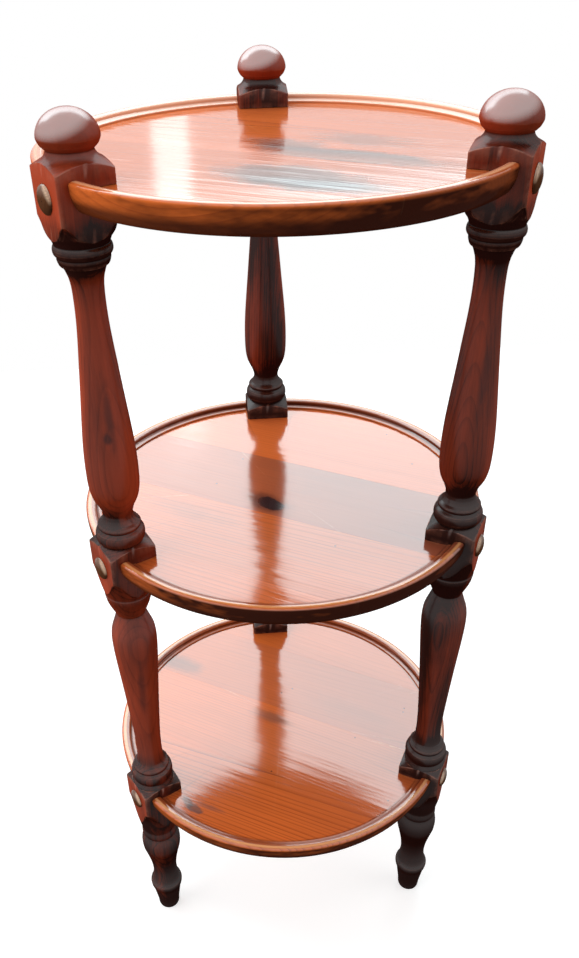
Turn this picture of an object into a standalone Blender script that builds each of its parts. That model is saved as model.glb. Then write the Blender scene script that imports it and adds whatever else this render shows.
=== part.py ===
"""Etagere table: three round pine shelves held by three turned posts.

Lengths are in metres and +Z is up. The origin is on the shelves' common axis, at floor level.
Each post is turned from one square length, which stays square in a block at every shelf. A block is cut
away over half its depth where the shelf slides in, the shelf is notched for the half that is left, and one
screw runs from the block's outer face into the shelf, hidden by a button plug.
"""

from itertools import chain
from math import ceil, cos, pi, radians, sin, sqrt

import bmesh
import bpy
from mathutils import Matrix, Vector
from mathutils.geometry import interpolate_bezier

# Heights: floor to low rim, rim to rim, and top rim to crown
LOW_RIM_HEIGHT = 0.196
LOWER_BAY_HEIGHT = 0.2753
UPPER_BAY_HEIGHT = 0.2728
FINIAL_RISE = 0.0354

# Shelves
SHELF_RADIUS = 0.1634
SHELF_THICKNESS = 0.019
RIM_RISE = 0.006
RIM_WIDTH = 0.0129
EDGE_ROUND_DEPTH = 0.0071
EDGE_NOSE_DROP = 0.0035
EDGE_UNDERCUT = 0.0064
BOARDS_ACROSS = 4
LOW_SEAM_SHARE = 0.14
MIDDLE_SEAM_SHARE = -0.44
TOP_SEAM_SHARE = -0.33
GRAIN_AZIMUTH = radians(-30)

# Posts
POST_WIDTH = 0.0385
POST_CORNER_ROUND = 0.0018
POST_INSET = 0.0134
TURNING_WASTE = 0.00025
BLOCK_RISE = 0.0035
LOW_BLOCK_DROP = 0.020
MIDDLE_BLOCK_DROP = 0.0173
TOP_BLOCK_DROP = 0.0241
SHOULDER_HEIGHT = 0.004
POST_AZIMUTHS = {"rear": radians(90), "front_left": radians(210), "front_right": radians(330)}

# Screws and plugs
SCREW_LENGTH = 0.050
SCREW_TIP_LENGTH = 0.006
SCREW_CORE_RADIUS = 0.00145
SCREW_SHANK_RADIUS = 0.0021
SCREW_HEAD_RADIUS = 0.004
SCREW_HEAD_HEIGHT = 0.0028
SCREW_SLOT_WIDTH = 0.0012
SCREW_SLOT_DEPTH = 0.0012
PLUG_HEAD_RADIUS = 0.009
PLUG_HEAD_HEIGHT = 0.0028
PLUG_TENON_RADIUS = 0.0062
PLUG_TENON_LENGTH = 0.005
PLUG_TENON_CHAMFER = 0.0006

# Clearance between pieces, how far a cutter runs past what it cuts, and the widest pair of points to weld
FIT = 0.0003
OVERRUN = 0.001
WELD = 0.00001

# Fineness
POST_SEGMENTS = 16
SHELF_SEGMENTS = 48
SCREW_SEGMENTS = 8
PLUG_SEGMENTS = 12
CURVE_PITCH = 0.025
KNOB_STEPS = 5
DOME_STEPS = 3
EDGE_STEPS = 3
CORNER_STEPS = 2
CRISP_ANGLE = radians(32)

# Sizes worked out from those above
MIDDLE_RIM_HEIGHT = LOW_RIM_HEIGHT + LOWER_BAY_HEIGHT
TOP_RIM_HEIGHT = MIDDLE_RIM_HEIGHT + UPPER_BAY_HEIGHT
TABLE_HEIGHT = TOP_RIM_HEIGHT + FINIAL_RISE
BOARD_WIDTH = 2 * SHELF_RADIUS / BOARDS_ACROSS
POST_RING_RADIUS = SHELF_RADIUS - POST_INSET
POST_HALF = POST_WIDTH / 2
TURNED_RADIUS = POST_HALF - TURNING_WASTE
CORNER_REACH = POST_HALF * sqrt(2) - POST_CORNER_ROUND * (sqrt(2) - 1)
SCREW_DEPTH = (RIM_RISE + SHELF_THICKNESS) / 2
COUNTERBORE_DEPTH = SCREW_HEAD_HEIGHT + PLUG_TENON_LENGTH + 3 * FIT
SCREW_SEAT = POST_HALF - COUNTERBORE_DEPTH

# Each shelf: the height of its rim, how far below the rim its blocks stay square, and how far its middle
# seam lies from the centre, as a share of a board's width
SHELVES = {
    "low": {"rim": LOW_RIM_HEIGHT, "block_drop": LOW_BLOCK_DROP, "seam_share": LOW_SEAM_SHARE},
    "middle": {"rim": MIDDLE_RIM_HEIGHT, "block_drop": MIDDLE_BLOCK_DROP, "seam_share": MIDDLE_SEAM_SHARE},
    "top": {"rim": TOP_RIM_HEIGHT, "block_drop": TOP_BLOCK_DROP, "seam_share": TOP_SEAM_SHARE},
}

# Turned outlines. Each stretch between two blocks is a few runs, from its lower end to its upper end. A run
# is a smooth curve through (height, radius) points, as shares of the stretch's length and of the turned
# radius. Each run starts where the last one ended, at a crisp line round the post.
FOOT_SHARES = (
    # toe
    ((0.0, 0.545), (0.06, 0.595), (0.19, 0.765)),
    # ankle ring
    ((0.19, 0.765), (0.213, 0.82), (0.232, 0.835), (0.26, 0.725)),
    # waist and bulge
    ((0.26, 0.725), (0.34, 0.63), (0.43, 0.69), (0.53, 0.87), (0.575, 0.965), (0.62, 0.995), (0.66, 0.965),
     (0.705, 0.855)),
    # fillet
    ((0.705, 0.855), (0.75, 0.865)),
    # long taper into the low block
    ((0.75, 0.865), (0.84, 1.005), (0.905, 1.10), (0.97, 1.23)),
)
LOWER_SHARES = (
    # cove on the shoulder
    ((0.0, 1.0), (0.018, 0.905)),
    # ring
    ((0.018, 0.905), (0.030, 0.985), (0.046, 1.0), (0.061, 0.96), (0.073, 0.855)),
    # collar and vase, widest near its top
    ((0.073, 0.855), (0.094, 0.73), (0.122, 0.62), (0.22, 0.605), (0.43, 0.76), (0.62, 0.935), (0.70, 0.975),
     (0.745, 0.925), (0.78, 0.78), (0.815, 0.625)),
    # bell under the middle block
    ((0.815, 0.625), (0.852, 0.83), (0.876, 0.935), (0.906, 0.99)),
    # taper into the middle block
    ((0.906, 0.99), (0.938, 1.075), (0.985, 1.27)),
)
UPPER_SHARES = (
    # ring on the shoulder
    ((0.005, 0.91), (0.014, 0.97), (0.029, 0.99), (0.044, 0.945), (0.056, 0.835)),
    # collar and vase, widest near its foot
    ((0.056, 0.835), (0.067, 0.85), (0.083, 0.68), (0.104, 0.59), (0.136, 0.71), (0.165, 0.885),
     (0.22, 0.995), (0.34, 0.97), (0.53, 0.76), (0.70, 0.575), (0.80, 0.545), (0.845, 0.605),
     (0.876, 0.775)),
    # small bead
    ((0.876, 0.775), (0.902, 0.93)),
    # bead
    ((0.902, 0.93), (0.917, 1.0), (0.931, 0.96)),
    # taper into the top block
    ((0.931, 0.96), (0.946, 1.0), (0.962, 1.155), (0.989, 1.28)),
)
FINIAL_SHARES = (
    # shoulder drawn in to the neck
    ((0.0, 1.0), (0.14, 0.80), (0.20, 0.755)),
    # underside of the knob
    ((0.20, 0.755), (0.30, 0.915), (0.43, 1.0)),
)

# Inner moulding of a shelf's rim, from the floor to the crest, as (share of its width, share of its rise)
RIM_MOULDING_SHARES = ((0.0, 0.0), (0.08, 0.22), (0.45, 0.48), (0.50, 0.76), (1.0, 1.0))


def clear_scene():
    """Remove every object that the scene starts with."""
    for item in list(bpy.data.objects):
        bpy.data.objects.remove(item)


def material(name, colour, roughness, metallic=0.0):
    """Make a plain Principled material."""
    result = bpy.data.materials.new(name)
    result.use_nodes = True
    shader = result.node_tree.nodes["Principled BSDF"]
    shader.inputs["Base Color"].default_value = (*colour, 1.0)
    shader.inputs["Roughness"].default_value = roughness
    shader.inputs["Metallic"].default_value = metallic
    return result


def stained_hardwood():
    """Glossy red-brown stain of the posts."""
    return material("stained_hardwood", (0.13, 0.026, 0.012), 0.28)


def lacquered_pine():
    """Orange pine of the shelves under clear gloss."""
    return material("lacquered_pine", (0.48, 0.14, 0.040), 0.16)


def plug_wood():
    """Duller brown of the button plugs."""
    return material("plug_wood", (0.17, 0.065, 0.032), 0.40)


def screw_steel():
    """Plain steel of the hidden screws."""
    return material("screw_steel", (0.55, 0.54, 0.52), 0.38, metallic=1.0)


def smooth_span(before, start, end, after):
    """Points along a curve from start to end, CURVE_PITCH apart or less, without the start itself.

    At each end the curve runs parallel to the line between that end's two neighbours.
    """
    steps = ceil((end - start).length / CURVE_PITCH)
    leaving = start + (end - before) / 6
    arriving = end - (after - start) / 6
    return interpolate_bezier(start, leaving, arriving, end, steps + 1)[1:]


def smooth_run(points):
    """Points along a smooth curve through the given ones."""
    padded = [points[0], *points, points[-1]]
    spans = [smooth_span(*four) for four in zip(padded, padded[1:], padded[2:], padded[3:])]
    return [points[0], *chain.from_iterable(spans)]


def stretch_outline(runs, low, high):
    """Turn a stretch's runs of shares into (radius, height) points, read upwards."""
    outline = []
    for run in runs:
        points = [Vector((radius * TURNED_RADIUS, low + height * (high - low))) for height, radius in run]
        outline += smooth_run(points)
    return outline


def block_outline(shelf):
    """The lathe's path round a block: wide of its corners, then up the slope of its shoulder."""
    slope = SHOULDER_HEIGHT / (CORNER_REACH - POST_HALF)
    tip = shelf["rim"] + BLOCK_RISE
    swing = CORNER_REACH + OVERRUN
    return [
        (swing, shelf["rim"] - shelf["block_drop"]),
        (swing, tip - slope * OVERRUN),
        (POST_HALF, tip + SHOULDER_HEIGHT),
    ]


def knob_outline(equator):
    """The round top of the finial, from its widest ring to its crown."""
    rise = TABLE_HEIGHT - equator
    angles = [pi / 2 * step / KNOB_STEPS for step in range(1, KNOB_STEPS)]
    dome = [(TURNED_RADIUS * cos(angle), equator + rise * sin(angle)) for angle in angles]
    return [*dome, (0, TABLE_HEIGHT)]


def post_outline():
    """The whole post's turned outline, read upwards from the middle of its toe."""
    outline = [(0, 0)]
    start = 0
    for name, runs in (("low", FOOT_SHARES), ("middle", LOWER_SHARES), ("top", UPPER_SHARES)):
        shelf = SHELVES[name]
        outline += stretch_outline(runs, start, shelf["rim"] - shelf["block_drop"])
        outline += block_outline(shelf)
        start = shelf["rim"] + BLOCK_RISE + SHOULDER_HEIGHT
    outline += stretch_outline(FINIAL_SHARES, start, TABLE_HEIGHT)
    return outline + knob_outline(outline[-1][1])


def turned_mesh(name, outline, segments):
    """Spin an outline of (radius, height) points, whose ends lie on the axis, about Z."""
    shape = bmesh.new()
    corners = [shape.verts.new((radius, 0, height)) for radius, height in outline]
    edges = [shape.edges.new(pair) for pair in zip(corners, corners[1:])]
    bmesh.ops.spin(
        shape, geom=corners + edges, axis=(0, 0, 1), angle=2 * pi, steps=segments, use_merge=True
    )
    bmesh.ops.remove_doubles(shape, verts=shape.verts, dist=WELD)
    bmesh.ops.recalc_face_normals(shape, faces=shape.faces)
    return finished_mesh(name, shape)


def finished_mesh(name, shape):
    """Store a bmesh as a mesh."""
    mesh = bpy.data.meshes.new(name)
    shape.to_mesh(mesh)
    shape.free()
    return mesh


def add_box(shape, low, high, place=Matrix()):
    """Add a box between two corners to a bmesh, moved by place."""
    size = [b - a for a, b in zip(low, high)]
    middle = [(a + b) / 2 for a, b in zip(low, high)]
    bmesh.ops.create_cube(
        shape, size=1, matrix=place @ Matrix.Translation(middle) @ Matrix.Diagonal((*size, 1))
    )


def add_rod(shape, radius, start, end, place=Matrix()):
    """Add a round rod along X from start to end to a bmesh, moved by place."""
    along_x = Matrix.Translation(((start + end) / 2, 0, 0)) @ Matrix.Rotation(pi / 2, 4, "Y")
    bmesh.ops.create_cone(
        shape, cap_ends=True, segments=PLUG_SEGMENTS, radius1=radius, radius2=radius, depth=end - start,
        matrix=place @ along_x,
    )


def carved(name, mesh, cuts):
    """Return the mesh after each (operation, cutter mesh) of cuts, shaded smooth between its crisp lines."""
    body = bpy.data.objects.new(name, mesh)
    bpy.context.collection.objects.link(body)
    cutters = []
    for operation, cutter_mesh in cuts:
        cutter = bpy.data.objects.new(name + "_cutter", cutter_mesh)
        cutter.hide_render = True
        cutter.display_type = "WIRE"
        bpy.context.collection.objects.link(cutter)
        cutters.append(cutter)
        boolean = body.modifiers.new(operation.lower(), "BOOLEAN")
        boolean.operation = operation
        boolean.solver = "EXACT"
        boolean.object = cutter
    result = bpy.data.meshes.new_from_object(body.evaluated_get(bpy.context.evaluated_depsgraph_get()))
    result.name = name
    for item in [body, *cutters]:
        bpy.data.objects.remove(item)
    return shaded(result)


def shaded(mesh):
    """Shade a mesh smooth, apart from its crisp edges."""
    mesh.shade_smooth()
    mesh.set_sharp_from_angle(angle=CRISP_ANGLE)
    return mesh


def add_piece(name, mesh, place, parent):
    """Add a finished piece of the table to the scene."""
    piece = bpy.data.objects.new(name, mesh)
    bpy.context.collection.objects.link(piece)
    piece.parent = parent
    piece.matrix_world = place


def post_place(azimuth):
    """Put a post's axis on its ring, with its local +X facing away from the shelves."""
    return Matrix.Rotation(azimuth, 4, "Z") @ Matrix.Translation((POST_RING_RADIUS, 0, 0))


def screw_place(azimuth, shelf, reach):
    """Put a turned piece's foot at reach from the post's axis, on the screw line, pointing outwards."""
    line = Matrix.Translation((reach, 0, shelf["rim"] - SCREW_DEPTH))
    return post_place(azimuth) @ line @ Matrix.Rotation(pi / 2, 4, "Y")


def square_stock():
    """The square length that a post is turned from, with its long edges rounded."""
    shape = bmesh.new()
    add_box(shape, (-POST_HALF, -POST_HALF, -OVERRUN), (POST_HALF, POST_HALF, TABLE_HEIGHT + OVERRUN))
    upright = [edge for edge in shape.edges if abs(edge.verts[0].co.z - edge.verts[1].co.z) > OVERRUN]
    bmesh.ops.bevel(
        shape, geom=upright, offset=POST_CORNER_ROUND, segments=CORNER_STEPS, profile=0.5, affect="EDGES"
    )
    return finished_mesh("square_stock", shape)


def dado_cutter():
    """The slots across the inner half of a post's blocks, one for each shelf's edge."""
    shape = bmesh.new()
    side = POST_HALF + OVERRUN
    for shelf in SHELVES.values():
        floor = shelf["rim"] - RIM_RISE + FIT
        underside = shelf["rim"] - SHELF_THICKNESS - FIT
        add_box(shape, (-side, -side, underside), (0, side, floor))
    return finished_mesh("dado_cutter", shape)


def counterbore_cutter():
    """The blind holes in a post's blocks for a screw's head and a plug's tenon."""
    shape = bmesh.new()
    for shelf in SHELVES.values():
        level = Matrix.Translation((0, 0, shelf["rim"] - SCREW_DEPTH))
        add_rod(shape, PLUG_TENON_RADIUS + FIT, SCREW_SEAT, POST_HALF + OVERRUN, level)
    return finished_mesh("counterbore_cutter", shape)


def shank_hole_cutter():
    """The holes that let a screw's shank through a post's blocks."""
    shape = bmesh.new()
    for shelf in SHELVES.values():
        level = Matrix.Translation((0, 0, shelf["rim"] - SCREW_DEPTH))
        add_rod(shape, SCREW_SHANK_RADIUS + FIT, -OVERRUN, SCREW_SEAT + OVERRUN, level)
    return finished_mesh("shank_hole_cutter", shape)


def post_mesh():
    """One post, turned, squared at its blocks and cut for its joints."""
    turned = turned_mesh("turned_post", post_outline(), POST_SEGMENTS)
    turned.transform(Matrix.Rotation(pi / POST_SEGMENTS, 4, "Z"))
    return carved("post", turned, [
        ("INTERSECT", square_stock()),
        ("DIFFERENCE", dado_cutter()),
        ("DIFFERENCE", counterbore_cutter()),
        ("DIFFERENCE", shank_hole_cutter()),
    ])


def shelf_outline():
    """A shelf's section, from the middle of its floor out over its rim and back along its underside."""
    crest = SHELF_RADIUS - EDGE_ROUND_DEPTH
    foot = SHELF_RADIUS - RIM_WIDTH
    moulding = [
        (foot + width * (crest - foot), -RIM_RISE + rise * RIM_RISE) for width, rise in RIM_MOULDING_SHARES
    ]
    below = SHELF_THICKNESS - EDGE_NOSE_DROP
    angles = [pi / 2 * step / EDGE_STEPS for step in range(1, EDGE_STEPS + 1)]
    over = [(crest + EDGE_ROUND_DEPTH * sin(angle), EDGE_NOSE_DROP * (cos(angle) - 1)) for angle in angles]
    under = [
        (SHELF_RADIUS - EDGE_UNDERCUT * (1 - cos(angle)), -EDGE_NOSE_DROP - below * sin(angle))
        for angle in angles
    ]
    return [(0, -RIM_RISE), *moulding, *over, *under, (0, -SHELF_THICKNESS)]


def notch_cutter():
    """The three posts' places in a shelf: a gap in its rim over the inner half of a block, down to the floor,
    and a notch through its edge for the outer half."""
    shape = bmesh.new()
    side = POST_HALF + FIT
    past_edge = POST_INSET + OVERRUN
    below = -SHELF_THICKNESS - OVERRUN
    section = [
        (-side, OVERRUN),
        (-side, -RIM_RISE),
        (-FIT, -RIM_RISE),
        (-FIT, below),
        (past_edge, below),
        (past_edge, OVERRUN),
    ]
    for azimuth in POST_AZIMUTHS.values():
        place = post_place(azimuth)
        corners = [shape.verts.new(place @ Vector((x, -side, z))) for x, z in section]
        cheek = shape.faces.new(corners)
        grown = bmesh.ops.extrude_face_region(shape, geom=[cheek])["geom"]
        moved = [item for item in grown if isinstance(item, bmesh.types.BMVert)]
        bmesh.ops.translate(shape, verts=moved, vec=place.to_3x3() @ Vector((0, 2 * side, 0)))
    bmesh.ops.recalc_face_normals(shape, faces=shape.faces)
    return finished_mesh("notch_cutter", shape)


def pilot_cutter():
    """The pilot holes in a shelf's edge, one behind each post."""
    shape = bmesh.new()
    tip = SCREW_SEAT + FIT - SCREW_LENGTH
    for azimuth in POST_AZIMUTHS.values():
        line = post_place(azimuth) @ Matrix.Translation((0, 0, -SCREW_DEPTH))
        add_rod(shape, SCREW_CORE_RADIUS + FIT, tip - OVERRUN, OVERRUN, line)
    return finished_mesh("pilot_cutter", shape)


def board_slab(low, high):
    """The strip of a shelf, between two seams, that one board covers."""
    shape = bmesh.new()
    reach = SHELF_RADIUS + OVERRUN
    add_box(
        shape, (-reach, low, -SHELF_THICKNESS - OVERRUN), (reach, high, OVERRUN),
        Matrix.Rotation(GRAIN_AZIMUTH, 4, "Z"),
    )
    return finished_mesh("board_slab", shape)


def board_sides(seam_share):
    """Where each board of a shelf starts and ends, across the grain, half a clearance off its seams."""
    past_edge = SHELF_RADIUS + OVERRUN
    seams = [BOARD_WIDTH * (number - BOARDS_ACROSS / 2 + seam_share) for number in range(1, BOARDS_ACROSS)]
    lows = [-past_edge, *(place + FIT / 2 for place in seams)]
    highs = [*(place - FIT / 2 for place in seams), past_edge]
    return list(zip(lows, highs))


def shelf_board_mesh(name, low, high):
    """One board of a shelf, dished, rimmed, notched and drilled with its neighbours."""
    turned = turned_mesh("turned_shelf", shelf_outline(), SHELF_SEGMENTS)
    return carved(name, turned, [
        ("DIFFERENCE", notch_cutter()),
        ("DIFFERENCE", pilot_cutter()),
        ("INTERSECT", board_slab(low, high)),
    ])


def screw_mesh():
    """A slotted pan-head wood screw, its head up and the seat under its head at the origin.

    Its plain shank ends at the post's axis, where the shelf's edge starts.
    """
    outline = [
        (0, SCREW_HEAD_HEIGHT),
        (SCREW_HEAD_RADIUS - SCREW_HEAD_HEIGHT / 2, SCREW_HEAD_HEIGHT),
        (SCREW_HEAD_RADIUS, SCREW_HEAD_HEIGHT / 2),
        (SCREW_HEAD_RADIUS, 0),
        (SCREW_SHANK_RADIUS, 0),
        (SCREW_SHANK_RADIUS, -SCREW_SEAT),
        (SCREW_CORE_RADIUS, -SCREW_SEAT),
        (SCREW_CORE_RADIUS, SCREW_TIP_LENGTH - SCREW_LENGTH),
        (0, -SCREW_LENGTH),
    ]
    slot = bmesh.new()
    reach = SCREW_HEAD_RADIUS + OVERRUN
    add_box(
        slot, (-reach, -SCREW_SLOT_WIDTH / 2, SCREW_HEAD_HEIGHT - SCREW_SLOT_DEPTH),
        (reach, SCREW_SLOT_WIDTH / 2, SCREW_HEAD_HEIGHT + OVERRUN),
    )
    turned = turned_mesh("turned_screw", outline, SCREW_SEGMENTS)
    return carved("screw", turned, [("DIFFERENCE", finished_mesh("slot_cutter", slot))])


def plug_mesh():
    """A button plug, its dome up and the seat under its dome at the origin."""
    angles = [pi / 2 * step / DOME_STEPS for step in range(DOME_STEPS + 1)]
    dome = [(PLUG_HEAD_RADIUS * sin(angle), PLUG_HEAD_HEIGHT * cos(angle)) for angle in angles]
    tenon = [
        (PLUG_TENON_RADIUS, 0),
        (PLUG_TENON_RADIUS, PLUG_TENON_CHAMFER - PLUG_TENON_LENGTH),
        (PLUG_TENON_RADIUS - PLUG_TENON_CHAMFER, -PLUG_TENON_LENGTH),
        (0, -PLUG_TENON_LENGTH),
    ]
    return shaded(turned_mesh("plug", [*dome, *tenon], PLUG_SEGMENTS))


def add_posts(parent):
    """Stand the three posts on their ring."""
    mesh = post_mesh()
    mesh.materials.append(stained_hardwood())
    for name, azimuth in POST_AZIMUTHS.items():
        add_piece("post_" + name, mesh, post_place(azimuth), parent)


def add_shelves(parent):
    """Lay the boards of the three shelves."""
    pine = lacquered_pine()
    for level, shelf in SHELVES.items():
        place = Matrix.Translation((0, 0, shelf["rim"]))
        for number, (low, high) in enumerate(board_sides(shelf["seam_share"]), start=1):
            name = f"{level}_shelf_board_{number}"
            mesh = shelf_board_mesh(name, low, high)
            mesh.materials.append(pine)
            add_piece(name, mesh, place, parent)


def add_fastenings(parent):
    """Drive a screw through each block and hide it with a plug."""
    screw = screw_mesh()
    screw.materials.append(screw_steel())
    plug = plug_mesh()
    plug.materials.append(plug_wood())
    for level, shelf in SHELVES.items():
        for name, azimuth in POST_AZIMUTHS.items():
            seat = screw_place(azimuth, shelf, SCREW_SEAT + FIT)
            face = screw_place(azimuth, shelf, POST_HALF + FIT)
            add_piece(f"screw_{level}_{name}", screw, seat, parent)
            add_piece(f"plug_{level}_{name}", plug, face, parent)


def build():
    """Make the whole table."""
    clear_scene()
    table = bpy.data.objects.new("etagere_table", None)
    bpy.context.collection.objects.link(table)
    add_posts(table)
    add_shelves(table)
    add_fastenings(table)


build()
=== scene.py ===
"""Etagere table: three turned posts, three dished round shelves, screws and button plugs."""

from itertools import chain
from math import atan, ceil, cos, pi, radians, sin, sqrt

import bmesh
import bpy
from bpy.props import FloatProperty, FloatVectorProperty
from mathutils import Matrix, Vector
from mathutils.geometry import interpolate_bezier


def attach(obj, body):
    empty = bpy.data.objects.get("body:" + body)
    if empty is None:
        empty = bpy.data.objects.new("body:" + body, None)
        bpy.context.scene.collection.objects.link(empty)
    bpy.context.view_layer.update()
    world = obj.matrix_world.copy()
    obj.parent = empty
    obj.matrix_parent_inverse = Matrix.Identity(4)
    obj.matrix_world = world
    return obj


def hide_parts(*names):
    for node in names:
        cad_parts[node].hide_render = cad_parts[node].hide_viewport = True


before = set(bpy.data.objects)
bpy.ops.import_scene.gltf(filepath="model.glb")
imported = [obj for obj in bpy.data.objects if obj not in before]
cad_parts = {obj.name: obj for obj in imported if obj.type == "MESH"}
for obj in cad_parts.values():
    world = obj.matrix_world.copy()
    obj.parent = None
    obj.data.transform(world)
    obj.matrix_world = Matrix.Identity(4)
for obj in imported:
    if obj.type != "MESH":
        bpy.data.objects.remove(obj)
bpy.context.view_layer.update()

bl_info = {
    "name": "Etagere table",
    "version": (1, 0, 0),
    "blender": (4, 5, 0),
    "location": "3D View > Sidebar > Etagere",
    "description": "Builds a three-shelf etagere table with turned posts round its packed CAD frame",
    "category": "Object",
}

PHOTO_WIDTH = 579
PHOTO_HEIGHT = 958

# Sizes that the part's source has too, in metres
BOARDS_ACROSS = 4
SEAM_SHARES = {"low": 0.14, "middle": -0.44, "top": -0.33}
GRAIN_AZIMUTH = radians(-30)
RIM_RISE = 0.006
POST_CORNER_ROUND = 0.0018
POST_INSET = 0.0134
TURNING_WASTE = 0.00025
BLOCK_RISE = 0.0035
BLOCK_DROPS = {"low": 0.020, "middle": 0.0173, "top": 0.0241}
SHOULDER_HEIGHT = 0.004
POST_AZIMUTHS = {"rear": radians(90), "front_left": radians(210), "front_right": radians(330)}
SCREW_HEAD_HEIGHT = 0.0028
SCREW_SHANK_RADIUS = 0.0021
SCREW_CORE_RADIUS = 0.00145
SCREW_LENGTH = 0.050
PLUG_HEAD_RADIUS = 0.009
PLUG_TENON_RADIUS = 0.0062
PLUG_TENON_LENGTH = 0.005
PLUG_TENON_CHAMFER = 0.0006
FIT = 0.0003

# Sizes that follow the photograph more closely than the part's source does: how far down a shelf's edge
# bulges most, how far its lower edge is drawn in, and how high a plug's dome stands
EDGE_NOSE_DROP = 0.0020
EDGE_UNDERCUT = 0.0085
PLUG_HEAD_HEIGHT = 0.0036

# Fineness of the visible meshes
OVERRUN = 0.001
WELD = 0.000002
OUTLINE_PITCH = 0.004
FACE_COLUMNS = 7
CORNER_COLUMNS = 3
TAPER_ROWS = 8
BLOCK_ROWS = 5
SHOULDER_ROWS = 5
EASE_STEPS = 2
SHELF_SEGMENTS = 192
EDGE_STEPS = 8
PLUG_SEGMENTS = 36
DOME_STEPS = 7
HOLE_SEGMENTS = 24
CRISP_ANGLE = radians(34)
EASED_ANGLE = radians(14)

# How dark the posts' colour is at heights over the floor: nearly black in the turned rings and just below
# each shelf, redder on the shafts. It is partly the stain's own depth and partly painted shade where the
# shelves above shade the posts.
STAIN_AND_SHADE_DEPTHS = (
    (0.0, 0.90), (0.12, 0.80), (0.20, 0.85), (0.229, 0.80), (0.245, 0.42), (0.39, 0.36), (0.41, 0.60),
    (0.44, 0.62), (0.475, 0.70), (0.500, 0.78), (0.520, 0.25), (0.66, 0.12), (0.682, 0.45), (0.690, 0.95),
    (0.714, 0.90), (0.724, 0.20), (0.748, 0.12), (0.755, 0.45), (0.759, 0.36), (0.80, 0.25),
)
# How much darker each post is below its finial: painted shade, deepest on the rear post that gets least
# light.
# How much lighter the outer faces of its blocks are: painted light where the side lamps fall on them
POST_PAINTED_SHADE = {"rear": 0.44, "front_left": -0.06, "front_right": 0.30}
OUTER_FACE_PAINTED_LIGHT = 0.60

# Small softening of the worn woodwork
ARRIS_EASE = 0.0006
TURNING_EASE = 0.0005
# The share of a line that the softening of its corner may take up
EASE_LIMIT = 0.45
# How far apart two boards of a shelf are
SEAM_GAP = 0.00006
# Keeps a cut off a mesh line that it would otherwise lie on
OFF_LINE = 0.00003

# Turned outlines. Each stretch between two blocks is a few runs, from its lower end to its upper end. A run
# is a smooth curve through (height, radius) points, as shares of the stretch's length and of the turned
# radius. Each run starts where the last one ended, at a crisp line round the post.
FOOT_SHARES = (
    # toe
    ((0.0, 0.52), (0.012, 0.56), (0.06, 0.595), (0.19, 0.765)),
    # ankle ring
    ((0.19, 0.79), (0.206, 0.825), (0.226, 0.845), (0.240, 0.825), (0.250, 0.77)),
    # waist and bulge
    ((0.250, 0.735), (0.34, 0.63), (0.43, 0.69), (0.53, 0.87), (0.575, 0.965), (0.62, 0.995), (0.66, 0.965),
     (0.703, 0.855)),
    # fillet
    ((0.703, 0.885), (0.724, 0.91), (0.745, 0.90)),
    # long taper into the low block
    ((0.747, 0.865), (0.84, 1.005), (0.905, 1.10), (0.97, 1.23)),
)
LOWER_SHARES = (
    # cove on the shoulder
    ((0.0, 1.0), (0.018, 0.905)),
    # ring
    ((0.018, 0.885), (0.023, 0.955), (0.034, 0.995), (0.048, 1.0), (0.062, 0.96), (0.071, 0.83)),
    # thin collar
    ((0.071, 0.83), (0.076, 0.865), (0.084, 0.86), (0.090, 0.79)),
    # vase, widest near its top
    ((0.090, 0.76), (0.101, 0.675), (0.122, 0.62), (0.22, 0.605), (0.43, 0.76), (0.62, 0.935), (0.70, 0.975),
     (0.745, 0.925), (0.78, 0.78), (0.815, 0.625)),
    # bell under the middle block
    ((0.815, 0.625), (0.852, 0.83), (0.876, 0.935), (0.902, 0.99)),
    # taper into the middle block
    ((0.904, 0.965), (0.912, 0.99), (0.938, 1.075), (0.985, 1.27)),
)
UPPER_SHARES = (
    # ring on the shoulder
    ((0.006, 0.885), (0.012, 0.955), (0.022, 0.985), (0.033, 0.985), (0.045, 0.94), (0.054, 0.81)),
    # thin collar
    ((0.054, 0.81), (0.059, 0.86), (0.066, 0.86), (0.072, 0.79)),
    # vase, widest near its foot
    ((0.072, 0.765), (0.084, 0.66), (0.104, 0.59), (0.136, 0.71), (0.165, 0.885),
     (0.22, 0.995), (0.34, 0.97), (0.53, 0.76), (0.70, 0.575), (0.80, 0.545), (0.845, 0.605),
     (0.874, 0.745)),
    # small bead
    ((0.874, 0.80), (0.881, 0.855), (0.893, 0.90), (0.900, 0.895)),
    # bead
    ((0.902, 0.93), (0.909, 0.985), (0.917, 1.0), (0.926, 0.98), (0.931, 0.93)),
    # taper into the top block
    ((0.931, 0.93), (0.946, 1.0), (0.962, 1.155), (0.989, 1.28)),
)
FINIAL_SHARES = (
    # shoulder drawn in to the neck
    ((0.0, 1.0), (0.045, 0.90), (0.12, 0.795), (0.20, 0.755)),
    # underside of the knob
    ((0.20, 0.755), (0.30, 0.915), (0.43, 1.0)),
)
KNOB_STEPS = 12

# Where the rings of points in a shelf's floor and in its underside lie, as shares of the way out. The floor's
# last one keeps the dirt and painted shade of the groove close to the rim.
FLOOR_RING_SHARES = (0.0, 0.5, 0.9, 0.985)
UNDERSIDE_RING_SHARE = 0.6

# A shelf's inner moulding, from the floor to the crest, as (share of its width, share of its rise). The runs
# meet at the two crisp lines that catch the light.
RIM_MOULDING_RUNS = (
    ((0.0, 0.0), (0.03, 0.16), (0.07, 0.22)),
    ((0.07, 0.22), (0.26, 0.30), (0.45, 0.48)),
    ((0.45, 0.48), (0.47, 0.66), (0.50, 0.76)),
    ((0.50, 0.76), (0.70, 0.95), (1.0, 1.0)),
)

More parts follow.
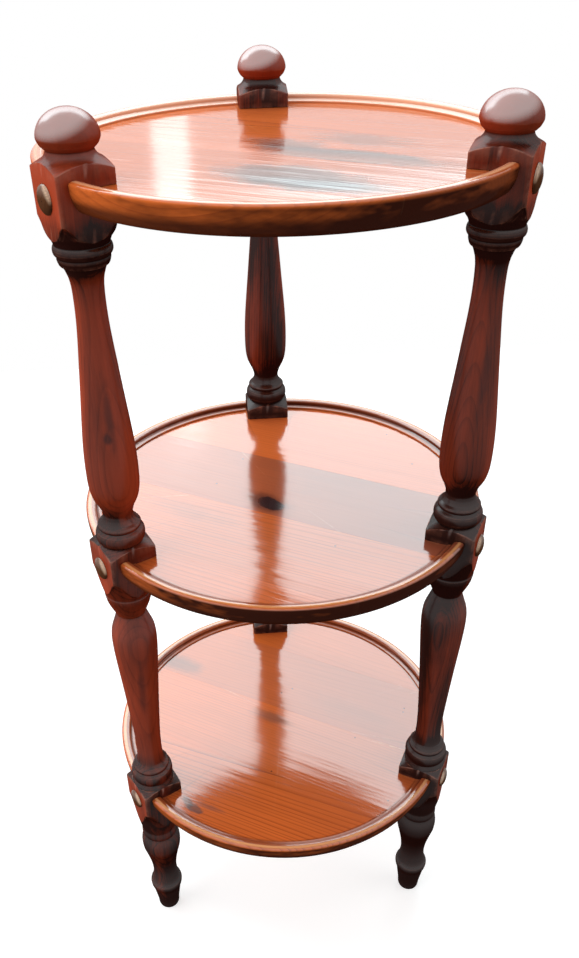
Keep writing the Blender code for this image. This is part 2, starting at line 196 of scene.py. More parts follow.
# Attributes that carry the wood's own place, the bend of its edges (for wear, dirt, painted highlights and
# painted shade) and the posts' stain depth with its painted shade to the materials
WOOD_PLACE = "wood_place"
WOOD_SEED = "wood_seed"
SHELF_PLACE = "shelf_place"
BOARD_TONE = "board_tone"
BOARD_LINES = "board_lines"
BOARD_NUMBER = "board_number"
CREST = "crest"
GROOVE = "groove"
STAIN_AND_SHADE_DEPTH = "stain_and_shade_depth"


def length_setting(name, description, default, low):
    """A size in metres, and the least that it may be."""
    return FloatProperty(name=name, description=description, default=default, min=low, unit="LENGTH")


def colour_setting(name, description, default):
    """A colour."""
    return FloatVectorProperty(
        name=name, description=description, default=default, subtype="COLOR", min=0, max=1,
    )


def light_setting(name, description, default):
    """The level of a light."""
    return FloatProperty(name=name, description=description, default=default, min=0)


class EtagereSizes(bpy.types.PropertyGroup):
    """The table's main sizes."""

    shelf_radius: length_setting("Shelf radius", "From the middle of a shelf to its edge", 0.1634, 0.05)
    shelf_thickness: length_setting("Shelf thickness", "Height of a shelf's edge", 0.019, 0.01)
    rim_width: length_setting("Rim width", "From a shelf's edge to its floor", 0.0129, 0.005)
    edge_round_depth: length_setting(
        "Edge round", "How far the rim's crest lies inside the edge", 0.0036, 0.001,
    )
    low_rim: length_setting("Low rim height", "Floor to the low shelf's rim", 0.196, 0.05)
    middle_rim: length_setting("Middle rim height", "Floor to the middle shelf's rim", 0.4713, 0.1)
    top_rim: length_setting("Top rim height", "Floor to the top shelf's rim", 0.7441, 0.2)
    table_height: length_setting("Table height", "Floor to the top of the finials", 0.7795, 0.2)
    post_width: length_setting("Post width", "Side of a post's square blocks", 0.0385, 0.01)


class EtagereFinish(bpy.types.PropertyGroup):
    """The table's colours."""

    stain: colour_setting("Post stain", "Main colour of the turned posts", (0.370, 0.050, 0.017))
    # The colour the posts go to where the stain gathers and where painted shade lies
    dark_stain_and_shade: colour_setting("Dark stain", "Colour of the stain where it gathers", (0.022, 0.0060, 0.0045))
    # Pale crests: wear, partly a painted highlight
    worn_and_highlight_stain: colour_setting("Worn stain", "Colour of the posts' worn crests", (0.42, 0.16, 0.10))
    pine: colour_setting("Pine", "Colour of the shelves between their growth lines", (0.84, 0.178, 0.032))
    pine_line: colour_setting("Pine growth line", "Colour of the shelves' growth lines", (0.22, 0.032, 0.008))
    # Dark edge: thick stain, partly painted shade
    edge_stain_and_shade: colour_setting(
        "Edge stain", "Colour of the shelves' edges where the stain is thick", (0.045, 0.010, 0.005),
    )
    old_stain: colour_setting(
        "Old stain", "Colour of the blue-grey patches in the boards", (0.060, 0.050, 0.052),
    )
    knot: colour_setting("Knot", "Colour of the knots in the wood", (0.022, 0.009, 0.010))
    plug: colour_setting("Plug", "Colour of the button plugs", (0.16, 0.062, 0.028))
    steel: colour_setting("Steel", "Colour of the screws", (0.55, 0.54, 0.52))


class EtagereStage(bpy.types.PropertyGroup):
    """Levels of the stage's lights."""

    room_light: light_setting("Room light", "Level of the light from all round", 0.32)
    window_light: light_setting("Window light", "Radiance of the large panel behind the table", 2.7)
    glare_light: light_setting(
        "Glare light", "Radiance of the narrow panel that glares in the top shelf", 1.5,
    )
    overhead_light: light_setting("Overhead light", "Radiance of the panel above the table", 2.0)
    side_light: light_setting("Side light", "Radiance of the left panel", 2.6)
    right_light: light_setting("Right light", "Radiance of the right panel", 1.9)


# ---- Meshes ----


def smooth_span(before, start, end, after):
    """Points along a curve from start to end, OUTLINE_PITCH apart or less, without the start itself."""
    steps = max(2, ceil((end - start).length / OUTLINE_PITCH))
    leaving = start + (end - before) / 6
    arriving = end - (after - start) / 6
    return interpolate_bezier(start, leaving, arriving, end, steps + 1)[1:]


def smooth_run(points):
    """Points along a smooth curve through the given ones."""
    padded = [points[0], *points, points[-1]]
    spans = [smooth_span(*four) for four in zip(padded, padded[1:], padded[2:], padded[3:])]
    return [points[0], *chain.from_iterable(spans)]


def eased(points, reach):
    """Round the crisp corners of a line of points with a small curve."""
    result = [points[0]]
    for before, corner, after in zip(points, points[1:], points[2:]):
        arriving, leaving = corner - before, after - corner
        if arriving.length < WELD or leaving.length < WELD or arriving.angle(leaving) < EASED_ANGLE:
            result.append(corner)
            continue
        start = corner - arriving.normalized() * min(reach, arriving.length * EASE_LIMIT)
        end = corner + leaving.normalized() * min(reach, leaving.length * EASE_LIMIT)
        result += quadratic(start, corner, end)
    return [*result, points[-1]]


def quadratic(start, corner, end):
    """Points along a curve that starts and ends on the two sides of a corner."""
    shares = [step / EASE_STEPS for step in range(EASE_STEPS + 1)]
    return [start.lerp(corner, share).lerp(corner.lerp(end, share), share) for share in shares]


def smooth_outline(runs, start, size):
    """Join runs of smooth curves. Each is given as points in shares of a size, counted from a start."""
    outline = []
    for run in runs:
        points = [Vector((start[0] + size[0] * x, start[1] + size[1] * y)) for x, y in run]
        outline += smooth_run(points)[1 if outline else 0:]
    return outline


def stretch_outline(runs, low, high, turned_radius):
    """Turn a stretch's runs of shares into (radius, height) points, read upwards."""
    swapped = [[(radius, height) for height, radius in run] for run in runs]
    return smooth_outline(swapped, (0.0, low), (turned_radius, high - low))


def square_reach(angle, half):
    """How far the block's section reaches from its middle at an angle from a face's middle."""
    flat = half - POST_CORNER_ROUND
    if abs(angle) <= atan(flat / half):
        return half / cos(angle)
    along = flat * (cos(angle) + sin(abs(angle)))
    return along + sqrt(along * along - 2 * flat * flat + POST_CORNER_ROUND * POST_CORNER_ROUND)


def post_columns(half):
    """The angles of a post's mesh columns, each with how far the block reaches there."""
    edge = atan((half - POST_CORNER_ROUND) / half)
    eighth = [edge * step / FACE_COLUMNS for step in range(FACE_COLUMNS)]
    eighth += [edge + (pi / 4 - edge) * step / CORNER_COLUMNS for step in range(CORNER_COLUMNS)]
    offsets = [-angle for angle in reversed(eighth[1:])] + eighth + [pi / 4]
    return [
        (quarter * pi / 2 + angle, square_reach(angle, half)) for quarter in range(4) for angle in offsets
    ]


def height_at(radius, line):
    """Where a line of (radius, height) points, whose radii grow, comes to a radius."""
    for start, end in zip(line, line[1:]):
        if start.x <= radius <= end.x and end.x > start.x:
            return start.y + (end.y - start.y) * (radius - start.x) / (end.x - start.x)
    return line[-1].y


def block_rows(taper, tip, columns, half, slope):
    """The rows of a square block, from where the taper below comes to its faces to the shoulder's foot."""
    rows = []
    for step in range(1, TAPER_ROWS):
        radii = [half + (reach - half) * (step / TAPER_ROWS) for _, reach in columns]
        rows.append([(radius, height_at(radius, taper)) for radius in radii])
    corners = []
    for _, reach in columns:
        ease = min(ARRIS_EASE, (reach - half) / 2)
        low, high = height_at(reach, taper), tip - slope * (reach - half)
        under = quadratic(
            Vector((reach - ease, height_at(reach - ease, taper))), Vector((reach, low)),
            Vector((reach, low + ease)),
        )
        over = quadratic(
            Vector((reach, high - ease)), Vector((reach, high)), Vector((reach - ease, high + slope * ease)),
        )
        side = [under[-1].lerp(over[0], step / BLOCK_ROWS) for step in range(1, BLOCK_ROWS)]
        corners.append([*under, *side, *over])
    rows += [[(point.x, point.y) for point in row] for row in zip(*corners)]
    for step in range(1, SHOULDER_ROWS):
        share = step / SHOULDER_ROWS
        radii = [corner[-1].x + (half - corner[-1].x) * share for corner in corners]
        rows.append([(radius, tip - slope * (radius - half)) for radius in radii])
    return rows


def post_rows(sizes, columns):
    """Every row of a post's mesh, from the floor to the crown: a (radius, height) for each column."""
    half = sizes.post_width / 2
    turned = half - TURNING_WASTE
    corner = half * sqrt(2) - POST_CORNER_ROUND * (sqrt(2) - 1)
    slope = SHOULDER_HEIGHT / (corner - half)
    rims = rim_heights(sizes)
    rows, start = [[(0.0, 0.0)] * len(columns)], 0.0
    for level, runs in (("low", FOOT_SHARES), ("middle", LOWER_SHARES), ("top", UPPER_SHARES)):
        end = rims[level] - BLOCK_DROPS[level]
        line = eased(stretch_outline(runs, start, end, turned), TURNING_EASE)
        round_part = [point for point in line if point.x < half]
        swing = Vector((corner + OVERRUN, end))
        wide = [point for point in line if point.x >= half]
        crossing = round_part[-1].lerp(wide[0], (half - round_part[-1].x) / (wide[0].x - round_part[-1].x))
        rows += [[(point.x, point.y)] * len(columns) for point in [*round_part, crossing]]
        start = rims[level] + BLOCK_RISE + SHOULDER_HEIGHT
        rows += block_rows([crossing, *wide, swing], start, columns, half, slope)
        rows.append([(half, start)] * len(columns))
    line = stretch_outline(FINIAL_SHARES, start, sizes.table_height, turned)
    equator = line[-1].y
    rise = sizes.table_height - equator
    angles = [pi / 2 * step / KNOB_STEPS for step in range(1, KNOB_STEPS)]
    line += [Vector((turned * cos(angle), equator + rise * sin(angle))) for angle in angles]
    rows += [[(point.x, point.y)] * len(columns) for point in eased(line[1:], TURNING_EASE)]
    rows.append([(0.0, sizes.table_height)] * len(columns))
    return rows


def grid_mesh(name, rows, angles):
    """A closed body of rings of points, each given as (radius, height) pairs for the same angles."""
    shape = bmesh.new()
    rings = [[shape.verts.new((radius * cos(angle), radius * sin(angle), height))
              for (radius, height), angle in zip(row, angles)] for row in rows]
    for lower, upper in zip(rings, rings[1:]):
        for index in range(len(angles)):
            following = (index + 1) % len(angles)
            shape.faces.new((lower[index], lower[following], upper[following], upper[index]))
    bmesh.ops.remove_doubles(shape, verts=shape.verts, dist=WELD)
    bmesh.ops.dissolve_degenerate(shape, edges=shape.edges, dist=WELD)
    bmesh.ops.recalc_face_normals(shape, faces=shape.faces)
    return stored(name, shape)


def turned_mesh(name, line, segments):
    """Spin a line of (radius, height) points, whose ends lie on the axis."""
    angles = [2 * pi * (step + 0.5) / segments for step in range(segments)]
    return grid_mesh(name, [[tuple(point)] * segments for point in line], angles)


def stored(name, shape):
    """Store a bmesh as a mesh."""
    mesh = bpy.data.meshes.new(name)
    shape.to_mesh(mesh)
    shape.free()
    return mesh


def add_box(shape, low, high, place=Matrix()):
    """Add a box between two corners to a bmesh, moved by place."""
    size = [b - a for a, b in zip(low, high)]
    middle = [(a + b) / 2 for a, b in zip(low, high)]
    bmesh.ops.create_cube(
        shape, size=1, matrix=place @ Matrix.Translation(middle) @ Matrix.Diagonal((*size, 1))
    )


def add_rod(shape, radius, start, end, place=Matrix()):
    """Add a round rod along X from start to end to a bmesh, moved by place."""
    along_x = Matrix.Translation(((start + end) / 2, 0, 0)) @ Matrix.Rotation(pi / 2, 4, "Y")
    bmesh.ops.create_cone(
        shape, cap_ends=True, segments=HOLE_SEGMENTS, radius1=radius, radius2=radius, depth=end - start,
        matrix=place @ along_x,
    )


def carved(name, mesh, cuts):
    """Return the mesh after each (operation, cutter mesh) of cuts."""
    body = bpy.data.objects.new(name, mesh)
    bpy.context.collection.objects.link(body)
    cutters = []
    for operation, cutter_mesh in cuts:
        cutter = bpy.data.objects.new(name + "_cutter", cutter_mesh)
        bpy.context.collection.objects.link(cutter)
        cutters.append(cutter)
        boolean = body.modifiers.new(operation.lower(), "BOOLEAN")
        boolean.operation = operation
        boolean.solver = "EXACT"
        boolean.object = cutter
    result = bpy.data.meshes.new_from_object(body.evaluated_get(bpy.context.evaluated_depsgraph_get()))
    result.name = name
    for item in [body, *cutters]:
        bpy.data.objects.remove(item)
    return result


def shaded(mesh):
    """Shade a mesh smooth, apart from its crisp edges."""
    mesh.shade_smooth()
    mesh.set_sharp_from_angle(angle=CRISP_ANGLE)
    return mesh


def write_vectors(mesh, name, values):
    """Give each vertex of a mesh a vector."""
    attribute = mesh.attributes.new(name, "FLOAT_VECTOR", "POINT")
    attribute.data.foreach_set("vector", [number for value in values for number in value])


def write_floats(mesh, name, values):
    """Give each vertex of a mesh a number."""
    mesh.attributes.new(name, "FLOAT", "POINT").data.foreach_set("value", values)


def write_same(mesh, name, value):
    """Give all vertices of a mesh the same number."""
    write_floats(mesh, name, [float(value)] * len(mesh.vertices))


def stain_and_shade_depth(height):
    """How dark the posts' stain and its painted shade are at a height."""
    for (low, before), (high, after) in zip(STAIN_AND_SHADE_DEPTHS, STAIN_AND_SHADE_DEPTHS[1:]):
        if height <= high:
            return before + (after - before) * max(height - low, 0) / (high - low)
    return STAIN_AND_SHADE_DEPTHS[-1][1]


def write_edges(mesh, low_curve, high_curve):
    """Mark how strongly each vertex lies on a crest or in a groove, from how its surface bends there.

    A bend is one over its radius, in metres. Below low_curve it counts for nothing, and from high_curve on
    it counts in full.
    """
    shape = bmesh.new()
    shape.from_mesh(mesh)
    shape.normal_update()
    crests, grooves = [], []
    for corner in shape.verts:
        bends = []
        for edge in corner.link_edges:
            step = edge.other_vert(corner).co - corner.co
            if step.length > OFF_LINE:
                bends.append(2 * corner.normal.dot(step) / max(step.length, ARRIS_EASE) ** 2)
        out, inward = -min(bends, default=0), max(bends, default=0)
        span = high_curve - low_curve
        crests.append(min(max((out - low_curve) / span, 0), 1))
        grooves.append(min(max((inward - low_curve) / span, 0), 1))
    shape.free()
    write_floats(mesh, CREST, crests)
    write_floats(mesh, GROOVE, grooves)


def add_piece(name, mesh, place, material):
    """Add a finished piece of the table, which stands for the frame's node of the same name."""
    mesh.name = name
    mesh.materials.clear()
    mesh.materials.append(material)
    piece = bpy.data.objects.new(name + "_finished", mesh)
    bpy.context.collection.objects.link(piece)
    piece.matrix_world = place
    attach(piece, "root")
    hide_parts(name)
    return piece


def post_place(sizes, azimuth):
    """Put a post's axis on its ring, with its local +X facing away from the shelves."""
    ring = sizes.shelf_radius - POST_INSET
    return Matrix.Rotation(azimuth, 4, "Z") @ Matrix.Translation((ring, 0, 0))


def screw_depth(sizes):
    """How far the screws lie below a shelf's rim."""
    return (RIM_RISE + sizes.shelf_thickness) / 2


def screw_seat(sizes):
    """How far a screw's head sits from the post's axis."""
    return sizes.post_width / 2 - SCREW_HEAD_HEIGHT - PLUG_TENON_LENGTH - 3 * FIT


def rim_heights(sizes):
    """The height of each shelf's rim."""
    return {"low": sizes.low_rim, "middle": sizes.middle_rim, "top": sizes.top_rim}


def joint_cutters(sizes):
    """The slots, counterbores and shank holes of a post's blocks."""
    half = sizes.post_width / 2
    side = half + OVERRUN
    slots, bores, shanks = bmesh.new(), bmesh.new(), bmesh.new()
    for rim in rim_heights(sizes).values():
        floor = rim - RIM_RISE + FIT
        underside = rim - sizes.shelf_thickness - FIT
        level = Matrix.Translation((0, 0, rim - screw_depth(sizes)))
        add_box(slots, (-side, -side, underside), (OFF_LINE, side, floor))
        add_rod(bores, PLUG_TENON_RADIUS + FIT, screw_seat(sizes), side, level)
        add_rod(shanks, SCREW_SHANK_RADIUS + FIT, -OVERRUN, screw_seat(sizes) + OVERRUN, level)
    return [stored("slots", slots), stored("bores", bores), stored("shanks", shanks)]


def post_mesh(sizes):
    """One post, turned, squared at its blocks and cut for its joints."""
    columns = post_columns(sizes.post_width / 2)
    mesh = grid_mesh("post", post_rows(sizes, columns), [angle for angle, _ in columns])
    return shaded(carved("post", mesh, [("DIFFERENCE", cutter) for cutter in joint_cutters(sizes)]))


def shelf_outline(sizes):
    """A shelf's section, from the middle of its floor out over its rim and back along its underside."""
    crest = sizes.shelf_radius - sizes.edge_round_depth
    foot = sizes.shelf_radius - sizes.rim_width
    moulding = smooth_outline(RIM_MOULDING_RUNS, (foot, -RIM_RISE), (crest - foot, RIM_RISE))
    below = sizes.shelf_thickness - EDGE_NOSE_DROP
    angles = [pi / 2 * step / EDGE_STEPS for step in range(1, EDGE_STEPS + 1)]
    over = [Vector((crest + sizes.edge_round_depth * sin(angle), EDGE_NOSE_DROP * (cos(angle) - 1)))
            for angle in angles]
    under = [Vector((sizes.shelf_radius - EDGE_UNDERCUT * (1 - cos(angle)),
                     -EDGE_NOSE_DROP - below * sin(angle))) for angle in angles]
    underside = Vector((crest * UNDERSIDE_RING_SHARE, -sizes.shelf_thickness))
    floor = [Vector((foot * share, -RIM_RISE)) for share in FLOOR_RING_SHARES]
    return [*floor, *moulding, *over, *under, underside, Vector((0, -sizes.shelf_thickness))]


def notch_cutter(sizes):
    """The three posts' places in a shelf: a gap in its rim and a notch through its edge."""
    shape = bmesh.new()
    side = sizes.post_width / 2 + FIT
    past_edge = POST_INSET + OVERRUN
    below = -sizes.shelf_thickness - OVERRUN
    floor = -RIM_RISE - OFF_LINE / 2
    section = [(-side, OVERRUN), (-side, floor), (-FIT, floor), (-FIT, below), (past_edge, below),
               (past_edge, OVERRUN)]
    for azimuth in POST_AZIMUTHS.values():
        place = post_place(sizes, azimuth)
        corners = [shape.verts.new(place @ Vector((x, -side, z))) for x, z in section]
        grown = bmesh.ops.extrude_face_region(shape, geom=[shape.faces.new(corners)])["geom"]
        moved = [item for item in grown if isinstance(item, bmesh.types.BMVert)]
        bmesh.ops.translate(shape, verts=moved, vec=place.to_3x3() @ Vector((0, 2 * side, 0)))
    bmesh.ops.recalc_face_normals(shape, faces=shape.faces)
    return stored("notches", shape)


def pilot_cutter(sizes):
    """The pilot holes in a shelf's edge, one behind each post."""
    shape = bmesh.new()
    tip = screw_seat(sizes) + FIT - SCREW_LENGTH
    for azimuth in POST_AZIMUTHS.values():
        line = post_place(sizes, azimuth) @ Matrix.Translation((0, 0, -screw_depth(sizes)))
        add_rod(shape, SCREW_CORE_RADIUS + FIT, tip - OVERRUN, OVERRUN, line)
    return stored("pilots", shape)


def board_slab(sizes, low, high):
    """The strip of a shelf, between two seams, that one board covers."""
    shape = bmesh.new()
    reach = sizes.shelf_radius + OVERRUN
    turn = Matrix.Rotation(GRAIN_AZIMUTH, 4, "Z")
    add_box(shape, (-reach, low, -reach), (reach, high, reach), turn)
    return stored("slab", shape)


def board_sides(sizes, level):
    """Where each board of a shelf starts and ends, across the grain."""
    past_edge = sizes.shelf_radius + OVERRUN
    width = 2 * sizes.shelf_radius / BOARDS_ACROSS
    seams = [width * (number - BOARDS_ACROSS / 2 + SEAM_SHARES[level]) for number in range(1, BOARDS_ACROSS)]
    lows = [-past_edge, *(place + SEAM_GAP / 2 for place in seams)]
    highs = [*(place - SEAM_GAP / 2 for place in seams), past_edge]
    return list(zip(lows, highs))


# Where the pith of each board's log lay, from the board's middle: across the grain and above it, in metres,
# then how much greyer (below 0) or warmer (above 0) the board is than its neighbours, and how strong its
# growth lines are
BOARD_LOGS = {
    "low": (
        (0.062, -0.060, 0.1, 0.9), (-0.075, -0.055, 0.1, 0.4), (0.058, -0.070, -0.3, 0.3),
        (-0.050, -0.066, 0.0, 0.25),
    ),
    "middle": (
        (-0.060, -0.062, 0.2, 0.55), (0.072, -0.058, 0.1, 0.6), (-0.066, -0.070, -0.6, 0.30),
        (0.058, -0.050, 0.35, 0.35),
    ),
    "top": (
        (0.050, -0.055, 0.1, 0.5), (-0.064, -0.052, -0.1, 0.4), (0.070, -0.074, 0.1, 0.4),
        (-0.060, -0.062, 0.2, 0.4),
    ),
}


def write_wood(mesh, sizes, level, number, low, high):
    """Give a board's vertices their place in its log and on its shelf."""
    across, up, tone, lines = BOARD_LOGS[level][number - 1]
    turn = Matrix.Rotation(-GRAIN_AZIMUTH, 3, "Z")
    middle = (max(low, -sizes.shelf_radius) + min(high, sizes.shelf_radius)) / 2
    shift = Vector((0, -middle - across, -up))
    write_vectors(mesh, WOOD_PLACE, [turn @ corner.co + shift for corner in mesh.vertices])
    write_vectors(mesh, SHELF_PLACE, [corner.co for corner in mesh.vertices])
    write_same(mesh, WOOD_SEED, number + BOARDS_ACROSS * list(SEAM_SHARES).index(level))
    write_same(mesh, BOARD_TONE, tone)
    write_same(mesh, BOARD_LINES, lines)
    write_same(mesh, BOARD_NUMBER, number)


def plug_mesh():
    """A button plug, its dome up and the seat under its dome at the origin."""
    angles = [pi / 2 * step / DOME_STEPS for step in range(DOME_STEPS + 1)]
    dome = [Vector((PLUG_HEAD_RADIUS * sin(angle), PLUG_HEAD_HEIGHT * cos(angle))) for angle in angles]
    tenon = [
        Vector((PLUG_TENON_RADIUS, 0)),
        Vector((PLUG_TENON_RADIUS, PLUG_TENON_CHAMFER - PLUG_TENON_LENGTH)),
        Vector((PLUG_TENON_RADIUS - PLUG_TENON_CHAMFER, -PLUG_TENON_LENGTH)),
        Vector((0, -PLUG_TENON_LENGTH)),
    ]
    return shaded(turned_mesh("plug", [*dome, *tenon], PLUG_SEGMENTS))


# ---- Node tools ----


def add_node(tree, kind, inputs=None, **settings):
    """Place a node with its settings, and give its inputs values or links."""
    node = tree.nodes.new(kind)
    for name, value in settings.items():
        setattr(node, name, value)
    for key, value in (inputs or {}).items():
        if isinstance(value, bpy.types.NodeSocket):
            tree.links.new(value, node.inputs[key])
        else:
            node.inputs[key].default_value = value
    return node


def maths(tree, operation, *values, clamp=False):
    """Work out a number from one to three numbers."""
    return add_node(
        tree, "ShaderNodeMath", dict(enumerate(values)), operation=operation, use_clamp=clamp
    ).outputs[0]


def vector_maths(tree, operation, *values, output=0):
    """Work out a vector from vectors."""
    node = add_node(tree, "ShaderNodeVectorMath", dict(enumerate(values)), operation=operation)
    return node.outputs[output]


def times(tree, first, *others):
    """Multiply numbers."""
    for other in others:
        first = maths(tree, "MULTIPLY", first, other)
    return first


def axis(tree, vector, name):
    """One of a vector's three numbers."""
    return add_node(tree, "ShaderNodeSeparateXYZ", {0: vector}).outputs[name]


def blend(tree, share, first, second):
    """Mix two colours."""
    return add_node(tree, "ShaderNodeMix", {0: share, 6: first, 7: second}, data_type="RGBA").outputs[2]


def mapped(tree, value, low, high, to_low=0.0, to_high=1.0, smooth=False):
    """Map a number from one span to another and keep it there."""
    kind = "SMOOTHSTEP" if smooth else "LINEAR"
    inputs = {0: value, 1: low, 2: high, 3: to_low, 4: to_high}
    return add_node(tree, "ShaderNodeMapRange", inputs, interpolation_type=kind, clamp=True).outputs[0]


def noise(tree, place, scale, detail=2.0, roughness=0.5, output=0, seed=0.0):
    """Soft random variation, about even round a half."""
    inputs = {"Vector": place, "W": seed, "Scale": scale, "Detail": detail, "Roughness": roughness}
    return add_node(tree, "ShaderNodeTexNoise", inputs, noise_dimensions="4D").outputs[output]


def stretched(tree, place, stretch):
    """Scale a place along its axes."""
    return vector_maths(tree, "MULTIPLY", place, stretch)


def opaque(colour):
    """A colour with full alpha."""
    return (*colour, 1.0)


def new_group(name, inputs, outputs):
    """Start a node group. Inputs and outputs are (name, kind, default) rows."""
    group = bpy.data.node_groups.new(name, "ShaderNodeTree")
    for rows, direction in ((inputs, "INPUT"), (outputs, "OUTPUT")):
        for label, kind, default in rows:
            socket = group.interface.new_socket(label, in_out=direction, socket_type="NodeSocket" + kind)
            if default is not None:
                socket.default_value = default
    return group, group.nodes.new("NodeGroupInput"), group.nodes.new("NodeGroupOutput")


def use_group(tree, name, inputs):
    """Place a node group in a material."""
    return add_node(tree, "ShaderNodeGroup", inputs, node_tree=bpy.data.node_groups[name])


def attribute(tree, name, output):
    """Read one of the meshes' own attributes."""
    return add_node(tree, "ShaderNodeAttribute", attribute_name=name).outputs[output]


def surface_normal(tree):
    """Which way the surface faces."""
    return add_node(tree, "ShaderNodeNewGeometry").outputs["Normal"]


# ---- Effects shared by the materials ----

# Where in a growth ring the late wood is densest, and how steeply it builds up
DENSEST_WOOD = 0.93
BUILD_UP = 1.6
# How unevenly the rings are spaced, in rings, and over how many rings that changes
UNEVEN_RINGS = 2.4
UNEVEN_SCALE = 0.31
# How small the breaks in worn and highlighted crests and in gathered dirt and painted shade are
RUB_AND_HIGHLIGHT_SCALE = 160.0
DIRT_AND_SHADE_SCALE = 70.0
# How small the notches in a patch's edge are
RAGGED_SCALE = 55.0


def make_growth_rings():
    """Growth rings round a log's pith: late wood lines, each ring's own shade, and fine fibres."""
    group, given, made = new_group(
        "growth_rings",
        [("Place", "Vector", None), ("Ring Width", "Float", 0.003), ("Wander", "Float", 0.006),
         ("Line Share", "Float", 0.35), ("Taper", "Float", 0.05), ("Seed", "Float", 0.0)],
        [("Late Wood", "Float", None), ("Ring Shade", "Float", None), ("Fibre", "Float", None),
         ("Figure", "Float", None)],
    )
    place = given.outputs["Place"]
    seed = given.outputs["Seed"]
    drift = noise(group, stretched(group, place, (2.6, 9.0, 9.0)), 1.0, 1.0, output=1, seed=seed)
    drift = vector_maths(group, "SUBTRACT", drift, (0.5, 0.5, 0.5))
    wander = vector_maths(group, "SCALE", drift)
    group.links.new(given.outputs["Wander"], wander.node.inputs["Scale"])
    bent = vector_maths(group, "ADD", place, wander)
    axes = add_node(group, "ShaderNodeSeparateXYZ", {0: bent})
    level = maths(group, "MULTIPLY_ADD", axes.outputs["X"], given.outputs["Taper"], axes.outputs["Z"])
    squares = maths(group, "MULTIPLY_ADD", axes.outputs["Y"], axes.outputs["Y"],
                    maths(group, "MULTIPLY", level, level))
    radius = maths(group, "SQRT", squares)
    rings = maths(group, "DIVIDE", radius, given.outputs["Ring Width"])
    count = add_node(group, "ShaderNodeCombineXYZ", {0: rings}).outputs[0]
    uneven = noise(group, count, UNEVEN_SCALE, 1.0, seed=seed)
    rings = maths(group, "MULTIPLY_ADD", uneven, UNEVEN_RINGS, rings)
    through = maths(group, "FRACT", rings)
    start = maths(group, "SUBTRACT", 1.0, given.outputs["Line Share"])
    rise = maths(group, "POWER", mapped(group, through, start, DENSEST_WOOD), BUILD_UP)
    late = times(group, rise, mapped(group, through, DENSEST_WOOD, 1.0, 1.0, 0.0))
    whole = maths(group, "FLOOR", rings)
    shade = add_node(group, "ShaderNodeTexWhiteNoise", {"W": whole}, noise_dimensions="1D").outputs["Value"]
    fibre = noise(group, stretched(group, place, (22.0, 900.0, 900.0)), 1.0, 3.0, 0.6, seed=seed)
    figure = noise(group, stretched(group, place, (4.5, 42.0, 42.0)), 1.0, 3.0, 0.55, seed=seed)
    for name, socket in (("Late Wood", late), ("Ring Shade", shade), ("Fibre", fibre), ("Figure", figure)):
        group.links.new(socket, made.inputs[name])


def make_soft_patch():
    """A patch with a ragged edge: an oval round a centre, turned by an angle."""
    group, given, made = new_group(
        "soft_patch",
        [("Place", "Vector", None), ("Centre", "Vector", None), ("Length", "Float", 0.05),
         ("Width", "Float", 0.03), ("Turn", "Vector", None), ("Ragged", "Float", 0.3),
         ("Soft", "Float", 0.5)],
        [("Mask", "Float", None)],
    )
    away = vector_maths(group, "SUBTRACT", given.outputs["Place"], given.outputs["Centre"])
    turned = add_node(
        group, "ShaderNodeVectorRotate", {"Vector": away, "Rotation": given.outputs["Turn"]},
        rotation_type="EULER_XYZ", invert=True,
    ).outputs[0]
    axes = add_node(group, "ShaderNodeSeparateXYZ", {0: turned})
    along = maths(group, "DIVIDE", axes.outputs["X"], given.outputs["Length"])
    across = maths(group, "DIVIDE", axes.outputs["Y"], given.outputs["Width"])
    reach = maths(group, "SQRT", maths(group, "MULTIPLY_ADD", along, along,
                                      maths(group, "MULTIPLY", across, across)))
    edge = maths(group, "SUBTRACT", noise(group, given.outputs["Place"], RAGGED_SCALE, 4.0, 0.6), 0.5)
    reach = maths(group, "MULTIPLY_ADD", edge, times(group, given.outputs["Ragged"], 2.0), reach)
    inner = maths(group, "SUBTRACT", 1.0, given.outputs["Soft"])
    mask = mapped(group, reach, inner, 1.0, 1.0, 0.0, smooth=True)
    group.links.new(mask, made.inputs["Mask"])


def make_edge_wear_and_light():
    """Where crests are rubbed pale and grooves hold stain, broken up along the wood: wear and dirt, partly a
    painted highlight on the crests and painted shade in the grooves.
    """
    group, given, made = new_group(
        "edge_wear_and_light",
        [("Place", "Vector", None), ("Crest", "Float", 0.0), ("Groove", "Float", 0.0),
         ("Amount", "Float", 0.6)],
        [("Worn And Highlight", "Float", None), ("Dirt And Shade", "Float", None)],
    )
    rub = mapped(group, noise(group, given.outputs["Place"], RUB_AND_HIGHLIGHT_SCALE, 3.0, 0.6), 0.36, 0.66)
    # Pale crests: wear, partly a painted highlight
    worn = maths(group, "MULTIPLY", given.outputs["Crest"], rub)
    worn = maths(group, "MULTIPLY", worn, given.outputs["Amount"], clamp=True)
    gather = mapped(group, noise(group, given.outputs["Place"], DIRT_AND_SHADE_SCALE, 2.0), 0.25, 0.7, 0.45, 1.0)
    # Dark grooves: dirt, partly painted shade
    dirt = maths(group, "MULTIPLY", given.outputs["Groove"], gather, clamp=True)
    group.links.new(worn, made.inputs["Worn And Highlight"])
    group.links.new(dirt, made.inputs["Dirt And Shade"])


